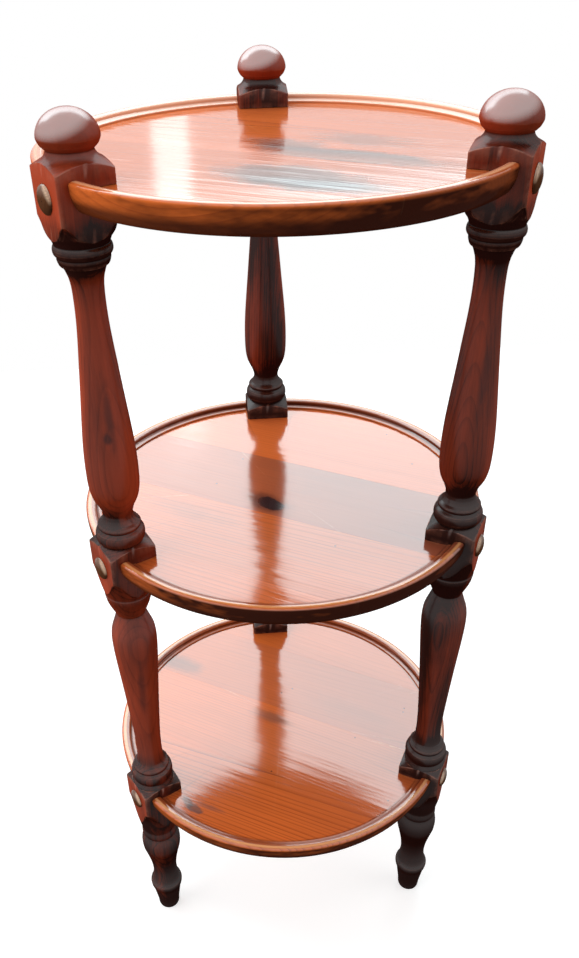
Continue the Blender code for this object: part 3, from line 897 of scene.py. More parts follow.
def make_specks():
    """Small dents and specks, thinly scattered."""
    group, given, made = new_group(
        "specks",
        [("Place", "Vector", None), ("Scale", "Float", 60.0), ("Size", "Float", 0.06),
         ("Share", "Float", 0.2)],
        [("Mask", "Float", None)],
    )
    inputs = {"Vector": given.outputs["Place"], "Scale": given.outputs["Scale"], "Randomness": 1.0}
    cells = add_node(group, "ShaderNodeTexVoronoi", inputs, feature="F1")
    chosen = add_node(group, "ShaderNodeSeparateColor", {0: cells.outputs["Color"]}).outputs[0]
    near = maths(group, "LESS_THAN", cells.outputs["Distance"], given.outputs["Size"])
    picked = maths(group, "LESS_THAN", chosen, given.outputs["Share"])
    group.links.new(maths(group, "MULTIPLY", near, picked), made.inputs["Mask"])


# ---- Materials ----

# Width of a growth ring and how far the rings wander, in metres
POST_RINGS = (0.0026, 0.010)
PINE_RINGS = (0.0030, 0.006)
PLUG_RINGS = (0.0016, 0.004)
# Share of a ring that is late wood, and how fast the rings widen along the log
LATE_WOOD_SHARE = 0.5
LOG_TAPER = 0.03
# How much of each piece's crests is rubbed pale: wear, on the posts and shelves partly a painted highlight
POST_RUB_AND_HIGHLIGHT = 0.7
PINE_RUB_AND_HIGHLIGHT = 0.55
PLUG_RUB = 0.5
# How deep the wood's pores are, in metres
PORE_DEPTH = 0.0004
# How strong each wood's gloss coat is: from and to how far the surface faces up, where 1 is straight up, and
# the coat's weight at both
POST_COAT = (-0.20, 0.60, 0.0, 0.13)
PINE_COAT = (0.50, 0.92, 0.01, 1.0)
PLUG_COAT = (0.1, 0.5, 0.0, 0.5)

# Colours of wear and dirt, and of painted shade and painted highlights
POST_DIRT_AND_SHADE = (0.007, 0.0035, 0.003, 1.0)
GREY_AND_SHADED_PINE = (0.34, 0.085, 0.040, 1.0)
WARM_PINE = (0.70, 0.16, 0.06, 1.0)
DENT = (0.03, 0.012, 0.008, 1.0)
RUBBED_AND_LIT_PINE = (0.80, 0.42, 0.20, 1.0)
GROOVE_STAIN_AND_SHADE = (0.035, 0.010, 0.005, 1.0)
RUBBED_PLUG = (0.36, 0.17, 0.09, 1.0)
PLUG_SPECK = (0.03, 0.014, 0.009, 1.0)
PLUG_HIGHLIGHT_TONE = (0.70, 0.47, 0.31, 1.0)
DULL_STEEL = (0.12, 0.075, 0.05, 1.0)
STEEL_SPECK = (0.05, 0.03, 0.02, 1.0)


def new_material(name, roughness, **constants):
    """Start a material. The constants are set on the shader's own sockets."""
    material = bpy.data.materials.new(name)
    material.use_nodes = True
    shader = material.node_tree.nodes["Principled BSDF"]
    shader.inputs["Roughness"].default_value = roughness
    for label, value in constants.items():
        shader.inputs[label.replace("_", " ")].default_value = value
    return material, material.node_tree, shader


def growth(tree, place, rings, taper=LOG_TAPER):
    """The growth rings of a piece. Rings are their width and how far they wander."""
    width, wander = rings
    return use_group(tree, "growth_rings", {
        "Place": place, "Ring Width": width, "Wander": wander, "Line Share": LATE_WOOD_SHARE, "Taper": taper,
        "Seed": attribute(tree, WOOD_SEED, "Fac"),
    })


def worn(tree, place, amount):
    """The worn crests and dark grooves of a piece, partly painted highlight and painted shade."""
    return use_group(tree, "edge_wear_and_light", {
        "Place": place, "Crest": attribute(tree, CREST, "Fac"), "Groove": attribute(tree, GROOVE, "Fac"),
        "Amount": amount,
    })


def raise_surface(tree, shader, height, strength, depth, invert=False):
    """Give a material small bumps, in its gloss coat too."""
    inputs = {"Height": height, "Strength": strength, "Distance": depth}
    bump = add_node(tree, "ShaderNodeBump", inputs, invert=invert)
    tree.links.new(bump.outputs[0], shader.inputs["Normal"])
    return bump.outputs[0]


# Knots and dark streaks of the posts: (wood seed, then the centre as the wood place gives it, length, width,
# softness, strength)
POST_KNOTS = (
    (1.0, 0.574, 0.015, 0.0, 0.0055, 0.0034, 0.7, 0.70),
    (1.0, 0.590, 0.012, 0.0, 0.040, 0.0040, 0.9, 0.55),
    (2.0, 0.600, 0.004, 0.0, 0.050, 0.0035, 0.9, 0.50),
    (1.0, 0.330, 0.014, 0.0, 0.045, 0.0040, 0.9, 0.45),
)
POST_KNOT_RAGGED = 0.6
# The finials are polished by hands from this height up, mostly on the side that faces this way. The polish
# sets in over the first length above it, and the stain's figure calms down over the second one below it.
FINIAL_POLISH_HEIGHT = 0.757
FINIAL_POLISH_FADE = 0.004
FINIAL_CALM_FADE = 0.010
POLISHED_SIDE = (-0.30, -0.30, 0.90)


def post_colour(tree, finish, place, height, rings, edges):
    """The posts' stain: its depth with painted shade, the knots under it, and over it the wear of its crests,
    partly a painted highlight, and the dirt of its grooves, partly painted shade.
    """
    depth = maths(tree, "MULTIPLY_ADD", rings.outputs["Late Wood"], 0.16,
                  mapped(tree, rings.outputs["Figure"], 0.35, 0.68, -0.20, 0.50))
    depth = maths(tree, "MULTIPLY_ADD", mapped(tree, rings.outputs["Fibre"], 0.35, 0.7), 0.14, depth)
    calmer = mapped(tree, height, FINIAL_POLISH_HEIGHT - FINIAL_CALM_FADE, FINIAL_POLISH_HEIGHT, 1.0, 0.3)
    # The depth by height holds painted shade under the shelves and painted light on the blocks' outer faces
    depth = maths(tree, "ADD", times(tree, depth, calmer), attribute(tree, STAIN_AND_SHADE_DEPTH, "Fac"), clamp=True)
    colour = blend(tree, depth, opaque(finish.stain), opaque(finish.dark_stain_and_shade))
    for seed, *centre, length, width, soft, strength in POST_KNOTS:
        knot = use_group(tree, "soft_patch", {
            "Place": place, "Centre": centre, "Length": length, "Width": width, "Ragged": POST_KNOT_RAGGED,
            "Soft": soft,
        })
        same = maths(tree, "COMPARE", attribute(tree, WOOD_SEED, "Fac"), seed, 0.5)
        colour = blend(tree, times(tree, knot.outputs["Mask"], same, strength), colour, opaque(finish.knot))
    # Pale crests: wear, partly a painted highlight
    colour = blend(tree, edges.outputs["Worn And Highlight"], colour, opaque(finish.worn_and_highlight_stain))
    # Dark grooves: dirt, partly painted shade
    return blend(tree, times(tree, edges.outputs["Dirt And Shade"], 0.9), colour, POST_DIRT_AND_SHADE)


def post_gloss_coat(tree, height):
    """How strong the posts' gloss coat is: weak but for the polished finials, and none on undersides."""
    normal = surface_normal(tree)
    varnished = mapped(tree, axis(tree, normal, "Z"), *POST_COAT)
    towards = vector_maths(tree, "DOT_PRODUCT", normal, POLISHED_SIDE, output="Value")
    polished = times(
        tree, mapped(tree, towards, 0.30, 0.75, smooth=True),
        mapped(tree, axis(tree, normal, "Y"), -0.5, 0.3, 0.85, 0.28),
        mapped(tree, height, FINIAL_POLISH_HEIGHT, FINIAL_POLISH_HEIGHT + FINIAL_POLISH_FADE),
    )
    return maths(tree, "MAXIMUM", varnished, polished)


def make_post_stain(finish):
    """Glossy red-brown stain on turned hardwood, with painted shade and painted highlights in its colour."""
    material, tree, shader = new_material(
        "post_stain", 0.24, IOR=1.5, Specular_IOR_Level=0.0, Coat_IOR=4.0, Coat_Roughness=0.26,
    )
    place = attribute(tree, WOOD_PLACE, "Vector")
    height = axis(tree, place, "X")
    rings = growth(tree, place, POST_RINGS)
    edges = worn(tree, place, POST_RUB_AND_HIGHLIGHT)
    tree.links.new(post_colour(tree, finish, place, height, rings, edges), shader.inputs["Base Color"])
    tree.links.new(post_gloss_coat(tree, height), shader.inputs["Coat Weight"])
    gloss = mapped(tree, noise(tree, place, 60.0, 3.0), 0.3, 0.7, 0.20, 0.32)
    gloss = maths(tree, "MULTIPLY_ADD", edges.outputs["Worn And Highlight"], 0.15, gloss)
    tree.links.new(gloss, shader.inputs["Roughness"])
    pores = mapped(tree, rings.outputs["Fibre"], 0.5, 0.75)
    raise_surface(tree, shader, pores, 0.06, PORE_DEPTH, invert=True)
    return material


# Dark blue-grey patches and knots of each shelf, in metres from its middle: (board, x, y, length, width, turn
# in degrees, ragged, soft, strength)
PATCHES = {
    "top": (
        (3, 0.040, -0.038, 0.090, 0.020, -31, 0.35, 0.55, 0.95),
        (3, 0.004, 0.006, 0.040, 0.020, -35, 0.45, 0.75, 0.75),
        (3, 0.058, 0.004, 0.060, 0.024, -35, 0.40, 0.90, 0.75),
        (2, 0.000, -0.084, 0.066, 0.032, -31, 0.30, 0.55, 0.98),
        (2, 0.020, -0.108, 0.055, 0.020, -28, 0.35, 0.70, 0.80),
    ),
    "middle": (
        (3, 0.040, 0.010, 0.120, 0.040, -30, 0.40, 0.90, 0.22),
        (2, -0.080, -0.020, 0.060, 0.020, -30, 0.40, 0.90, 0.30),
    ),
    "low": (
        (1, -0.099, -0.097, 0.009, 0.006, -60, 1.10, 0.45, 0.85),
        (1, -0.091, -0.107, 0.011, 0.005, -40, 1.10, 0.45, 0.85),
        (1, -0.078, -0.106, 0.020, 0.004, -30, 0.40, 0.80, 0.55),
        (3, -0.105, 0.090, 0.040, 0.016, -30, 0.40, 0.80, 0.55),
        (3, 0.070, 0.000, 0.080, 0.022, -30, 0.40, 0.90, 0.25),
        (2, -0.012, 0.002, 0.030, 0.010, -30, 0.40, 0.80, 0.60),
    ),
}
KNOTS = {
    "top": (),
    "middle": (
        (3, -0.0105, -0.0180, 0.0150, 0.0085, -50, 0.40, 0.30, 0.95),
        (3, -0.0140, -0.0160, 0.024, 0.014, -48, 0.30, 0.60, 0.60),
        (3, -0.0125, -0.0165, 0.034, 0.018, -45, 0.30, 0.85, 0.40),
    ),
    "low": (),
}
# Small dark dents of each shelf, in metres from its middle
SPOTS = {
    "top": ((0.060, 0.070), (-0.080, 0.030), (-0.030, 0.090)),
    "middle": ((0.119, 0.032), (0.107, 0.087), (0.034, -0.083), (-0.029, 0.057), (-0.054, 0.018)),
    "low": ((0.125, -0.004), (0.127, 0.001), (0.088, -0.113), (0.003, 0.035), (0.015, 0.040),
            (0.070, -0.034), (-0.017, -0.069)),
}
SPOT_RADIUS = 0.0011
# How light each shelf's pine is, and how dark the dirt and painted shade in the groove by its rim
PINE_LEVELS = {"top": 0.92, "middle": 0.93, "low": 0.86}
GROOVE_DIRT_AND_SHADE = {"top": 0.25, "middle": 0.85, "low": 0.85}

# Where the rim's moulding starts and where its crest is, from the shelf's middle, and how wide its lines are,
# all in metres
MOULDING_START = 0.1502
CREST_RADIUS = 0.1600
RIM_LINE = 0.0012
# The tone of each rim's moulding with its strength, how much stronger it is at the rear, and the tone of the
# painted highlight along the crest. The top shelf's pale moulding tone is a painted reflection of the window,
# strongest at the rear.
RIM_REFLECTION_TONE = (0.88, 0.44, 0.28, 1.0)
DARK_RIM = (0.20, 0.040, 0.014, 1.0)
RIM_TONES = {"top": (RIM_REFLECTION_TONE, 0.50), "middle": (DARK_RIM, 0.60), "low": (DARK_RIM, 0.60)}
REAR_RIM_SHARES = {"top": 1.9, "middle": 1.0, "low": 1.0}
CREST_HIGHLIGHT_TONES = {
    "top": (0.86, 0.42, 0.22, 1.0), "middle": (0.80, 0.36, 0.14, 1.0), "low": (0.86, 0.44, 0.20, 1.0),
}
# Dark edge of each shelf, partly thick stain and partly painted shade that deepens to the right, away from
# the
# left lamp: from where to where it thickens, left to right, with its share at both; from where to where it
# sets in below the crest; how strong it is; and how far out it starts
EDGE_STAIN_AND_SHADE_STARTS = {
    "top": (-0.10, 0.05, 0.36, 1.0), "middle": (-0.12, 0.00, 0.75, 1.25), "low": (-0.12, 0.02, 0.70, 1.0),
}
EDGE_STAIN_AND_SHADE_DROPS = {"top": (0.0008, 0.0035), "middle": (0.0003, 0.0016), "low": (0.0008, 0.0030)}
EDGE_STAIN_AND_SHADE_DEPTHS = {"top": 1.0, "middle": 1.0, "low": 0.95}
EDGE_STAIN_AND_SHADE_REACH = (0.1520, 0.1545)


def patch_mask(tree, place, patch):
    """One dark patch, kept to its own board."""
    number, x, y, length, width, turn, ragged, soft, strength = patch
    node = use_group(tree, "soft_patch", {
        "Place": place, "Centre": (x, y, -RIM_RISE), "Length": length, "Width": width,
        "Turn": (0, 0, radians(turn)), "Ragged": ragged, "Soft": soft,
    })
    same = maths(tree, "COMPARE", attribute(tree, BOARD_NUMBER, "Fac"), float(number), 0.5)
    return times(tree, node.outputs["Mask"], same, strength)


def spot_mask(tree, place, spots):
    """Small dark dents at given places."""
    total = None
    for x, y in spots:
        away = vector_maths(tree, "DISTANCE", place, (x, y, -RIM_RISE), output="Value")
        mask = mapped(tree, away, SPOT_RADIUS * 0.5, SPOT_RADIUS, 1.0, 0.0)
        total = mask if total is None else maths(tree, "MAXIMUM", total, mask)
    return total


def pine_wood(tree, finish, level, rings, spot):
    """The colour of the wood itself: its figure, growth lines and fibres, and each board's own tone, with
    painted shade that greys the pine towards +X.
    """
    shade = mapped(tree, rings.outputs["Ring Shade"], 0.0, 1.0, 0.45, 1.0)
    line = times(tree, rings.outputs["Late Wood"], shade, attribute(tree, BOARD_LINES, "Fac"))
    pine = tuple(PINE_LEVELS[level] * part for part in finish.pine)
    darker = tuple(0.62 * part for part in pine)
    figure = mapped(tree, rings.outputs["Figure"], 0.3, 0.75, 0.0, 0.45)
    colour = blend(tree, figure, opaque(pine), opaque(darker))
    colour = blend(tree, line, colour, opaque(finish.pine_line))
    fibre = mapped(tree, rings.outputs["Fibre"], 0.3, 0.75, 0.0, 0.25)
    colour = blend(tree, fibre, colour, opaque(finish.pine_line))
    tone = attribute(tree, BOARD_TONE, "Fac")
    # Greyer and darker towards +X, away from the left lamp: painted shade. Boards of low tone are greyer too
    right = mapped(tree, axis(tree, spot, "X"), -0.05, 0.10, 0.0, 0.42)
    colour = blend(tree, maths(tree, "SUBTRACT", right, tone, clamp=True), colour, GREY_AND_SHADED_PINE)
    return blend(tree, maths(tree, "MULTIPLY", tone, 0.6, clamp=True), colour, WARM_PINE)


def add_marks(tree, finish, level, rings, spot, colour):
    """Lay old stain, knots and dents over the wood's colour."""
    streak = mapped(tree, rings.outputs["Figure"], 0.2, 0.6, 0.45, 1.0)
    for patch in PATCHES[level]:
        mask = times(tree, patch_mask(tree, spot, patch), streak)
        colour = blend(tree, mask, colour, opaque(finish.old_stain))
    for knot in KNOTS[level]:
        colour = blend(tree, patch_mask(tree, spot, knot), colour, opaque(finish.knot))
    return blend(tree, times(tree, spot_mask(tree, spot, SPOTS[level]), 0.85), colour, DENT)


def add_edge_stain_and_shade(tree, finish, level, spot, drop, out, colour):
    """Lay thick stain and painted shade down a shelf's edge, deeper to the right, and painted shade under it.
    Also returns where it covers the edge.
    """
    on_edge = mapped(tree, out, *EDGE_STAIN_AND_SHADE_REACH, smooth=True)
    side = times(tree, mapped(tree, drop, *EDGE_STAIN_AND_SHADE_DROPS[level], smooth=True), on_edge)
    blotch = noise(tree, stretched(tree, spot, (1.0, 1.0, 3.0)), 22.0, 3.0, 0.6)
    blotch = mapped(tree, blotch, 0.36, 0.62, -0.35, 0.35)
    # Darker towards +X, away from the left lamp: painted shade
    thick = mapped(tree, axis(tree, spot, "X"), *EDGE_STAIN_AND_SHADE_STARTS[level], smooth=True)
    thick = times(tree, maths(tree, "ADD", blotch, thick, clamp=True), EDGE_STAIN_AND_SHADE_DEPTHS[level])
    colour = blend(tree, times(tree, side, thick), colour, opaque(finish.edge_stain_and_shade))
    # Darker towards the edge's underside, which faces down: painted shade
    under = times(tree, mapped(tree, drop, 0.006, 0.013, 0.0, 0.85, smooth=True), on_edge)
    return side, blend(tree, under, colour, opaque(finish.edge_stain_and_shade))


def add_rim_lines(tree, level, spot, drop, out, colour):
    """Lay the moulding's tone, which on the top shelf is a painted reflection, and a painted highlight along
    the crest over the colour.
    """
    # A painted highlight along the crest
    off_crest = maths(tree, "ABSOLUTE", maths(tree, "SUBTRACT", out, CREST_RADIUS))
    crest_highlight = times(tree, mapped(tree, off_crest, RIM_LINE * 0.5, RIM_LINE * 1.5, 1.0, 0.0),
                       mapped(tree, drop, 0.0, RIM_LINE, 1.0, 0.0))
    rim_tone, strength = RIM_TONES[level]
    # The moulding's tone: on the top shelf a painted reflection, strongest at the rear
    moulding = times(
        tree, mapped(tree, out, MOULDING_START, MOULDING_START + RIM_LINE),
        mapped(tree, out, CREST_RADIUS, CREST_RADIUS + RIM_LINE, 1.0, 0.0),
        mapped(tree, drop, RIM_RISE, RIM_RISE + RIM_LINE, 1.0, 0.0),
        mapped(tree, axis(tree, spot, "Y"), 0.0, 0.12, strength, strength * REAR_RIM_SHARES[level]),
        maths(tree, "SUBTRACT", 1.0, crest_highlight),
    )
    colour = blend(tree, moulding, colour, rim_tone)
    return blend(tree, times(tree, crest_highlight, 0.8), colour, CREST_HIGHLIGHT_TONES[level])


def make_pine(finish, level):
    """Orange pine of one shelf under a clear gloss coat, with painted shade and painted highlights in its
    colour.
    """
    material, tree, shader = new_material(
        level + "_shelf_pine", 0.45, IOR=1.45, Specular_IOR_Level=0.0, Coat_IOR=2.0, Coat_Roughness=0.11,
    )
    place = attribute(tree, WOOD_PLACE, "Vector")
    spot = attribute(tree, SHELF_PLACE, "Vector")
    drop = times(tree, axis(tree, spot, "Z"), -1.0)
    flat = vector_maths(tree, "MULTIPLY", spot, (1.0, 1.0, 0.0))
    out = vector_maths(tree, "LENGTH", flat, output="Value")
    rings = growth(tree, place, PINE_RINGS)
    colour = pine_wood(tree, finish, level, rings, spot)
    colour = add_marks(tree, finish, level, rings, spot, colour)
    side, colour = add_edge_stain_and_shade(tree, finish, level, spot, drop, out, colour)
    colour = add_rim_lines(tree, level, spot, drop, out, colour)
    edges = worn(tree, spot, PINE_RUB_AND_HIGHLIGHT)
    # Pale crests: wear, partly a painted highlight, kept off the stained edge
    rubbed = times(tree, edges.outputs["Worn And Highlight"], mapped(tree, side, 0.0, 1.0, 1.0, 0.15))
    colour = blend(tree, rubbed, colour, RUBBED_AND_LIT_PINE)
    # Dark groove by the rim: dirt, partly painted shade
    colour = blend(tree, times(tree, edges.outputs["Dirt And Shade"], GROOVE_DIRT_AND_SHADE[level]), colour, GROOVE_STAIN_AND_SHADE)
    tree.links.new(colour, shader.inputs["Base Color"])
    coat = mapped(tree, axis(tree, surface_normal(tree), "Z"), *PINE_COAT)
    tree.links.new(coat, shader.inputs["Coat Weight"])
    late = times(tree, rings.outputs["Late Wood"], 0.4)
    pores = maths(tree, "MULTIPLY_ADD", rings.outputs["Fibre"], 0.6, late)
    waves = noise(tree, stretched(tree, place, (7.0, 85.0, 85.0)), 1.0, 3.0, 0.5,
                  seed=attribute(tree, WOOD_SEED, "Fac"))
    height = maths(tree, "MULTIPLY_ADD", pores, 0.12, waves)
    bumps = raise_surface(tree, shader, height, 0.65, PORE_DEPTH)
    tree.links.new(bumps, shader.inputs["Coat Normal"])
    return material


# The side of each dome, to the front and up, that takes a painted highlight
PLUG_HIGHLIGHT_SIDE = (0.0, -0.80, 0.60)


def make_plug_stain(finish):
    """Duller brown of the button plugs, with a painted highlight on the dome's front and painted shade on its
    lower side.
    """
    material, tree, shader = new_material(
        "plug_stain", 0.38, IOR=1.45, Specular_IOR_Level=0.0, Coat_IOR=2.2, Coat_Roughness=0.18,
    )
    place = attribute(tree, WOOD_PLACE, "Vector")
    rings = growth(tree, place, PLUG_RINGS, taper=0.0)
    fibre = rings.outputs["Fibre"]
    edges = worn(tree, place, PLUG_RUB)
    dark = opaque(tuple(0.4 * part for part in finish.plug))
    colour = blend(tree, times(tree, rings.outputs["Late Wood"], 0.6), opaque(finish.plug), dark)
    colour = blend(tree, mapped(tree, fibre, 0.3, 0.7, 0.0, 0.5), colour, dark)
    colour = blend(tree, edges.outputs["Worn And Highlight"], colour, RUBBED_PLUG)
    specks = use_group(tree, "specks", {"Place": place, "Scale": 500.0, "Size": 0.28, "Share": 0.18})
    colour = blend(tree, specks.outputs["Mask"], colour, PLUG_SPECK)
    normal = surface_normal(tree)
    upward = axis(tree, normal, "Z")
    # Darker where the dome faces down: painted shade
    colour = blend(tree, mapped(tree, upward, -0.4, 0.4, 0.95, 0.0), colour, dark)
    # Pale patch where the dome faces front and up: a painted highlight
    towards = vector_maths(tree, "DOT_PRODUCT", normal, PLUG_HIGHLIGHT_SIDE, output="Value")
    pale = mapped(tree, towards, 0.66, 0.93, smooth=True)
    pale = times(tree, pale, mapped(tree, fibre, 0.3, 0.6, 0.5, 1.0))
    colour = blend(tree, pale, colour, PLUG_HIGHLIGHT_TONE)
    tree.links.new(colour, shader.inputs["Base Color"])
    tree.links.new(mapped(tree, upward, *PLUG_COAT), shader.inputs["Coat Weight"])
    tree.links.new(mapped(tree, fibre, 0.3, 0.7, 0.32, 0.46), shader.inputs["Roughness"])
    raise_surface(tree, shader, fibre, 0.15, PORE_DEPTH * 0.75)
    return material


def make_screw_steel(finish):
    """Turned steel of the hidden screws, dulled in places."""
    material, tree, shader = new_material("screw_bright_steel", 0.34, Metallic=1.0)
    place = add_node(tree, "ShaderNodeTexCoord").outputs["Object"]
    brushed = noise(tree, stretched(tree, place, (900.0, 900.0, 60.0)), 1.0, 3.0)
    dull = mapped(tree, noise(tree, place, 240.0, 3.0), 0.42, 0.68)
    dark = opaque(tuple(0.45 * part for part in finish.steel))
    colour = blend(tree, mapped(tree, brushed, 0.3, 0.7, 0.0, 0.3), opaque(finish.steel), dark)
    colour = blend(tree, times(tree, dull, 0.6), colour, DULL_STEEL)
    specks = use_group(tree, "specks", {"Place": place, "Scale": 900.0, "Size": 0.3, "Share": 0.15})
    colour = blend(tree, specks.outputs["Mask"], colour, STEEL_SPECK)
    tree.links.new(colour, shader.inputs["Base Color"])
    tree.links.new(mapped(tree, dull, 0.0, 1.0, 0.28, 0.55), shader.inputs["Roughness"])
    raise_surface(tree, shader, brushed, 0.1, PORE_DEPTH * 0.5)
    return material


def need_effects():
    """Build the shared effects once."""
    makers = {"growth_rings": make_growth_rings, "soft_patch": make_soft_patch,
              "edge_wear_and_light": make_edge_wear_and_light, "specks": make_specks}
    for name, maker in makers.items():
        if name not in bpy.data.node_groups:
            maker()


# ---- Operators ----

# The curvature, per metre, from which an edge counts as worn, and at which it is worn fully
POST_CURVES = (130, 700)
SHARP_CURVES = (200, 1600)
# Where each post lies in its log: the first one's shift from the pith, and the next one's from the last
FIRST_POST_SHIFT = (0.020, 0.016)
NEXT_POST_SHIFT = (-0.012, 0.009)
# Where each plug lies in its log, and how much each is turned from the last
PLUG_SHIFT = Vector((0, 0.004, 0.006))
PLUG_SPIN = 2.4


class AddPosts(bpy.types.Operator):
    """Add the three turned posts, from foot to finial"""

    bl_idname = "etagere.add_posts"
    bl_label = "Add posts"

    def execute(self, context):
        sizes, finish = context.scene.etagere_sizes, context.scene.etagere_finish
        need_effects()
        stain = make_post_stain(finish)
        pattern = post_mesh(sizes)
        write_edges(pattern, *POST_CURVES)
        outer = sizes.post_width / 2 - OFF_LINE
        for count, (name, azimuth) in enumerate(POST_AZIMUTHS.items()):
            mesh = pattern.copy()
            shift = Vector((0, *(
                first + following * count for first, following in zip(FIRST_POST_SHIFT, NEXT_POST_SHIFT)
            )))
            write_vectors(mesh, WOOD_PLACE, [
                Vector((corner.co.z, corner.co.x, corner.co.y)) + shift for corner in mesh.vertices
            ])
            write_same(mesh, WOOD_SEED, count)
            # The stain depth with painted shade under the shelves and on the less lit posts, less the painted
            # light on the blocks' outer faces
            write_floats(mesh, STAIN_AND_SHADE_DEPTH, [
                stain_and_shade_depth(corner.co.z) + POST_PAINTED_SHADE[name] * (corner.co.z < FINIAL_POLISH_HEIGHT)
                - OUTER_FACE_PAINTED_LIGHT * (corner.co.x > outer) for corner in mesh.vertices
            ])
            add_piece("post_" + name, mesh, post_place(sizes, azimuth), stain)
        bpy.data.meshes.remove(pattern)
        return {"FINISHED"}


class AddShelves(bpy.types.Operator):
    """Add the boards of the three dished shelves"""

    bl_idname = "etagere.add_shelves"
    bl_label = "Add shelves"

    def execute(self, context):
        sizes, finish = context.scene.etagere_sizes, context.scene.etagere_finish
        need_effects()
        turned = turned_mesh("shelf", shelf_outline(sizes), SHELF_SEGMENTS)
        whole = carved("shelf", turned, [
            ("DIFFERENCE", notch_cutter(sizes)), ("DIFFERENCE", pilot_cutter(sizes)),
        ])
        for level, rim in rim_heights(sizes).items():
            pine = make_pine(finish, level)
            for number, (low, high) in enumerate(board_sides(sizes, level), start=1):
                slab = board_slab(sizes, low, high)
                mesh = shaded(carved("board", whole.copy(), [("INTERSECT", slab)]))
                write_edges(mesh, *SHARP_CURVES)
                write_wood(mesh, sizes, level, number, low, high)
                name = f"{level}_shelf_board_{number}"
                add_piece(name, mesh, Matrix.Translation((0, 0, rim)), pine)
        return {"FINISHED"}


class AddPlugs(bpy.types.Operator):
    """Add the button plugs over the screws"""

    bl_idname = "etagere.add_plugs"
    bl_label = "Add plugs"

    def execute(self, context):
        sizes, finish = context.scene.etagere_sizes, context.scene.etagere_finish
        need_effects()
        stain = make_plug_stain(finish)
        pattern = plug_mesh()
        write_edges(pattern, *SHARP_CURVES)
        seat = sizes.post_width / 2 + FIT
        for row, (level, rim) in enumerate(rim_heights(sizes).items()):
            for column, (name, azimuth) in enumerate(POST_AZIMUTHS.items()):
                mesh = pattern.copy()
                count = row * len(POST_AZIMUTHS) + column
                spin = Matrix.Rotation(PLUG_SPIN * count, 3, "Z")
                write_vectors(mesh, WOOD_PLACE, [spin @ corner.co + PLUG_SHIFT for corner in mesh.vertices])
                write_same(mesh, WOOD_SEED, count)
                line = Matrix.Translation((seat, 0, rim - screw_depth(sizes)))
                place = post_place(sizes, azimuth) @ line @ Matrix.Rotation(pi / 2, 4, "Y")
                add_piece(f"plug_{level}_{name}", mesh, place, stain)
        bpy.data.meshes.remove(pattern)
        return {"FINISHED"}


class FinishScrews(bpy.types.Operator):
    """Give the frame's screws their steel"""

    bl_idname = "etagere.finish_screws"
    bl_label = "Finish screws"

    def execute(self, context):
        need_effects()
        steel = make_screw_steel(context.scene.etagere_finish)
        for name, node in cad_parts.items():
            if name.startswith("screw_"):
                for slot in node.material_slots:
                    slot.material = steel
        return {"FINISHED"}


# ---- Stage ----

# Camera, fitted to the photograph: place in metres, turn in degrees, focal length and middle in pixels
CAMERA_PLACE = (-0.060845, -0.638308, 0.873096)
CAMERA_YAW = radians(2.836)
CAMERA_PITCH = radians(36.188)
CAMERA_ROLL = radians(-1.757)
CAMERA_FOCUS = 894.29
CAMERA_MIDDLE = (248.51, 550.04)
SENSOR_HEIGHT = 36.0

WHITE = (1, 1, 1)
DAYLIGHT = (0.84, 1.0, 1.04)


def add_camera():
    """Set the camera where the photograph was taken."""
    data = bpy.data.cameras.new("camera")
    data.sensor_fit = "VERTICAL"
    data.sensor_height = SENSOR_HEIGHT
    data.lens = CAMERA_FOCUS * SENSOR_HEIGHT / PHOTO_HEIGHT
    data.shift_x = (PHOTO_WIDTH / 2 - CAMERA_MIDDLE[0]) / PHOTO_HEIGHT
    data.shift_y = (CAMERA_MIDDLE[1] - PHOTO_HEIGHT / 2) / PHOTO_HEIGHT
    camera = bpy.data.objects.new("camera", data)
    bpy.context.collection.objects.link(camera)
    yaw, pitch, roll = CAMERA_YAW, CAMERA_PITCH, CAMERA_ROLL
    ahead = Vector((sin(yaw) * cos(pitch), cos(yaw) * cos(pitch), -sin(pitch)))
    level = Vector((cos(yaw), -sin(yaw), 0))
    above = level.cross(ahead)
    right = level * cos(roll) + above * sin(roll)
    up = above * cos(roll) - level * sin(roll)
    turn = Matrix((right, up, -ahead)).transposed().to_4x4()
    camera.matrix_world = Matrix.Translation(CAMERA_PLACE) @ turn
    bpy.context.scene.camera = camera


def seen_directly(tree):
    """One where the camera, a glossy surface or a clear one looks, and nought for the light itself."""
    path = add_node(tree, "ShaderNodeLightPath")
    seen = maths(tree, "MAXIMUM", path.outputs["Is Camera Ray"], path.outputs["Is Glossy Ray"])
    return maths(tree, "MAXIMUM", seen, path.outputs["Is Transmission Ray"])


def set_world(level):
    """A white surround that lights the table softly."""
    world = bpy.data.worlds.new("studio")
    world.use_nodes = True
    tree = world.node_tree
    background = tree.nodes["Background"]
    background.inputs["Color"].default_value = (*WHITE, 1)
    tree.links.new(mapped(tree, seen_directly(tree), 0.0, 1.0, level, 1.0), background.inputs["Strength"])
    bpy.context.scene.world = world


FLOOR_REACH = 1.3
# How pale the floor is by the light that falls on it, and how bright it looks to the camera besides
FLOOR_GREY = (0.55, 0.55, 0.55, 1)
FLOOR_GLOW = 0.66


def add_floor():
    """A plain pale floor that keeps the table's shadow."""
    shape = bmesh.new()
    bmesh.ops.create_grid(shape, x_segments=1, y_segments=1, size=FLOOR_REACH)
    mesh = stored("floor", shape)
    material, tree, shader = new_material(
        "pale_floor", 1.0, Base_Color=FLOOR_GREY, Specular_IOR_Level=0.0, Emission_Color=(*WHITE, 1),
    )
    glow = mapped(tree, seen_directly(tree), 0.0, 1.0, 0.0, FLOOR_GLOW)
    tree.links.new(glow, shader.inputs["Emission Strength"])
    mesh.materials.append(material)
    floor = bpy.data.objects.new("floor", mesh)
    bpy.context.collection.objects.link(floor)


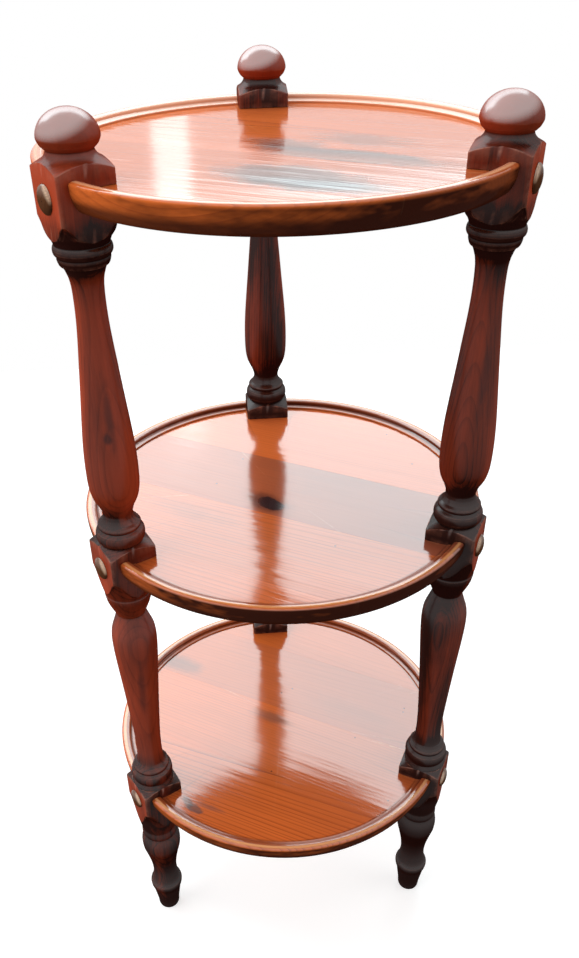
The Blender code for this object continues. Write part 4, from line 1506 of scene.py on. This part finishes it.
# What the panel lights face
AIM = Vector((0, 0, 0.45))
# The panel lights: name, azimuth and elevation in degrees, distance, width and height in metres, the setting
# that holds the level, colour, and whether glossy surfaces mirror it
PANEL_LIGHTS = (
    ("window", 98, 42, 2.0, 3.0, 1.3, "window_light", DAYLIGHT, True),
    ("glare_panel", 92.9, 22, 2.4, 0.11, 0.50, "glare_light", WHITE, True),
    ("left_panel", 188, 22, 2.2, 2.2, 2.0, "side_light", WHITE, False),
    ("right_panel", -10, 25, 2.3, 1.6, 1.6, "right_light", WHITE, False),
    ("overhead", 150, 78, 2.2, 1.8, 1.8, "overhead_light", WHITE, False),
)


def add_panel(name, azimuth, elevation, distance, width, height, radiance):
    """Hang a soft panel light that faces the table. Azimuth is from +X towards +Y."""
    data = bpy.data.lights.new(name, "AREA")
    data.shape = "RECTANGLE"
    data.size = width
    data.size_y = height
    data.energy = pi * width * height * radiance
    away = Vector((cos(azimuth) * cos(elevation), sin(azimuth) * cos(elevation), sin(elevation)))
    panel = bpy.data.objects.new(name, data)
    panel.location = AIM + away * distance
    panel.rotation_mode = "QUATERNION"
    panel.rotation_quaternion = away.to_track_quat("Z", "Y")
    panel.visible_camera = False
    bpy.context.collection.objects.link(panel)
    return panel


class AddStage(bpy.types.Operator):
    """Add the camera, the lights and the floor"""

    bl_idname = "etagere.add_stage"
    bl_label = "Add stage"

    def execute(self, context):
        stage = context.scene.etagere_stage
        context.scene.view_settings.view_transform = "Standard"
        add_camera()
        set_world(stage.room_light)
        add_floor()
        for name, azimuth, elevation, distance, width, height, setting, tint, glossy in PANEL_LIGHTS:
            panel = add_panel(name, radians(azimuth), radians(elevation), distance, width, height,
                              getattr(stage, setting))
            panel.data.color = tint
            panel.visible_glossy = glossy
        return {"FINISHED"}


class EtagerePanel(bpy.types.Panel):
    """Builds the table's pieces and shows its sizes and colours."""

    bl_idname = "VIEW3D_PT_etagere"
    bl_label = "Etagere table"
    bl_space_type = "VIEW_3D"
    bl_region_type = "UI"
    bl_category = "Etagere"

    def draw(self, context):
        for operator in OPERATORS:
            self.layout.operator(operator.bl_idname)
        for group in (context.scene.etagere_sizes, context.scene.etagere_finish, context.scene.etagere_stage):
            box = self.layout.box()
            for name in group.__annotations__:
                box.prop(group, name)


OPERATORS = (AddPosts, AddShelves, AddPlugs, FinishScrews, AddStage)
PROPERTY_GROUPS = {
    "etagere_sizes": EtagereSizes, "etagere_finish": EtagereFinish, "etagere_stage": EtagereStage,
}
CLASSES = (*PROPERTY_GROUPS.values(), *OPERATORS, EtagerePanel)


def register():
    """Make the operators, the panel and the settings known to Blender."""
    for item in CLASSES:
        bpy.utils.register_class(item)
    for name, group in PROPERTY_GROUPS.items():
        setattr(bpy.types.Scene, name, bpy.props.PointerProperty(type=group))


def unregister():
    """Take them away again."""
    for name in PROPERTY_GROUPS:
        delattr(bpy.types.Scene, name)
    for item in reversed(CLASSES):
        bpy.utils.unregister_class(item)


def main():
    """Build the table and its stage."""
    register()
    bpy.ops.etagere.add_stage()
    bpy.ops.etagere.add_posts()
    bpy.ops.etagere.add_shelves()
    bpy.ops.etagere.add_plugs()
    bpy.ops.etagere.finish_screws()


if __name__ == "__main__":
    main()
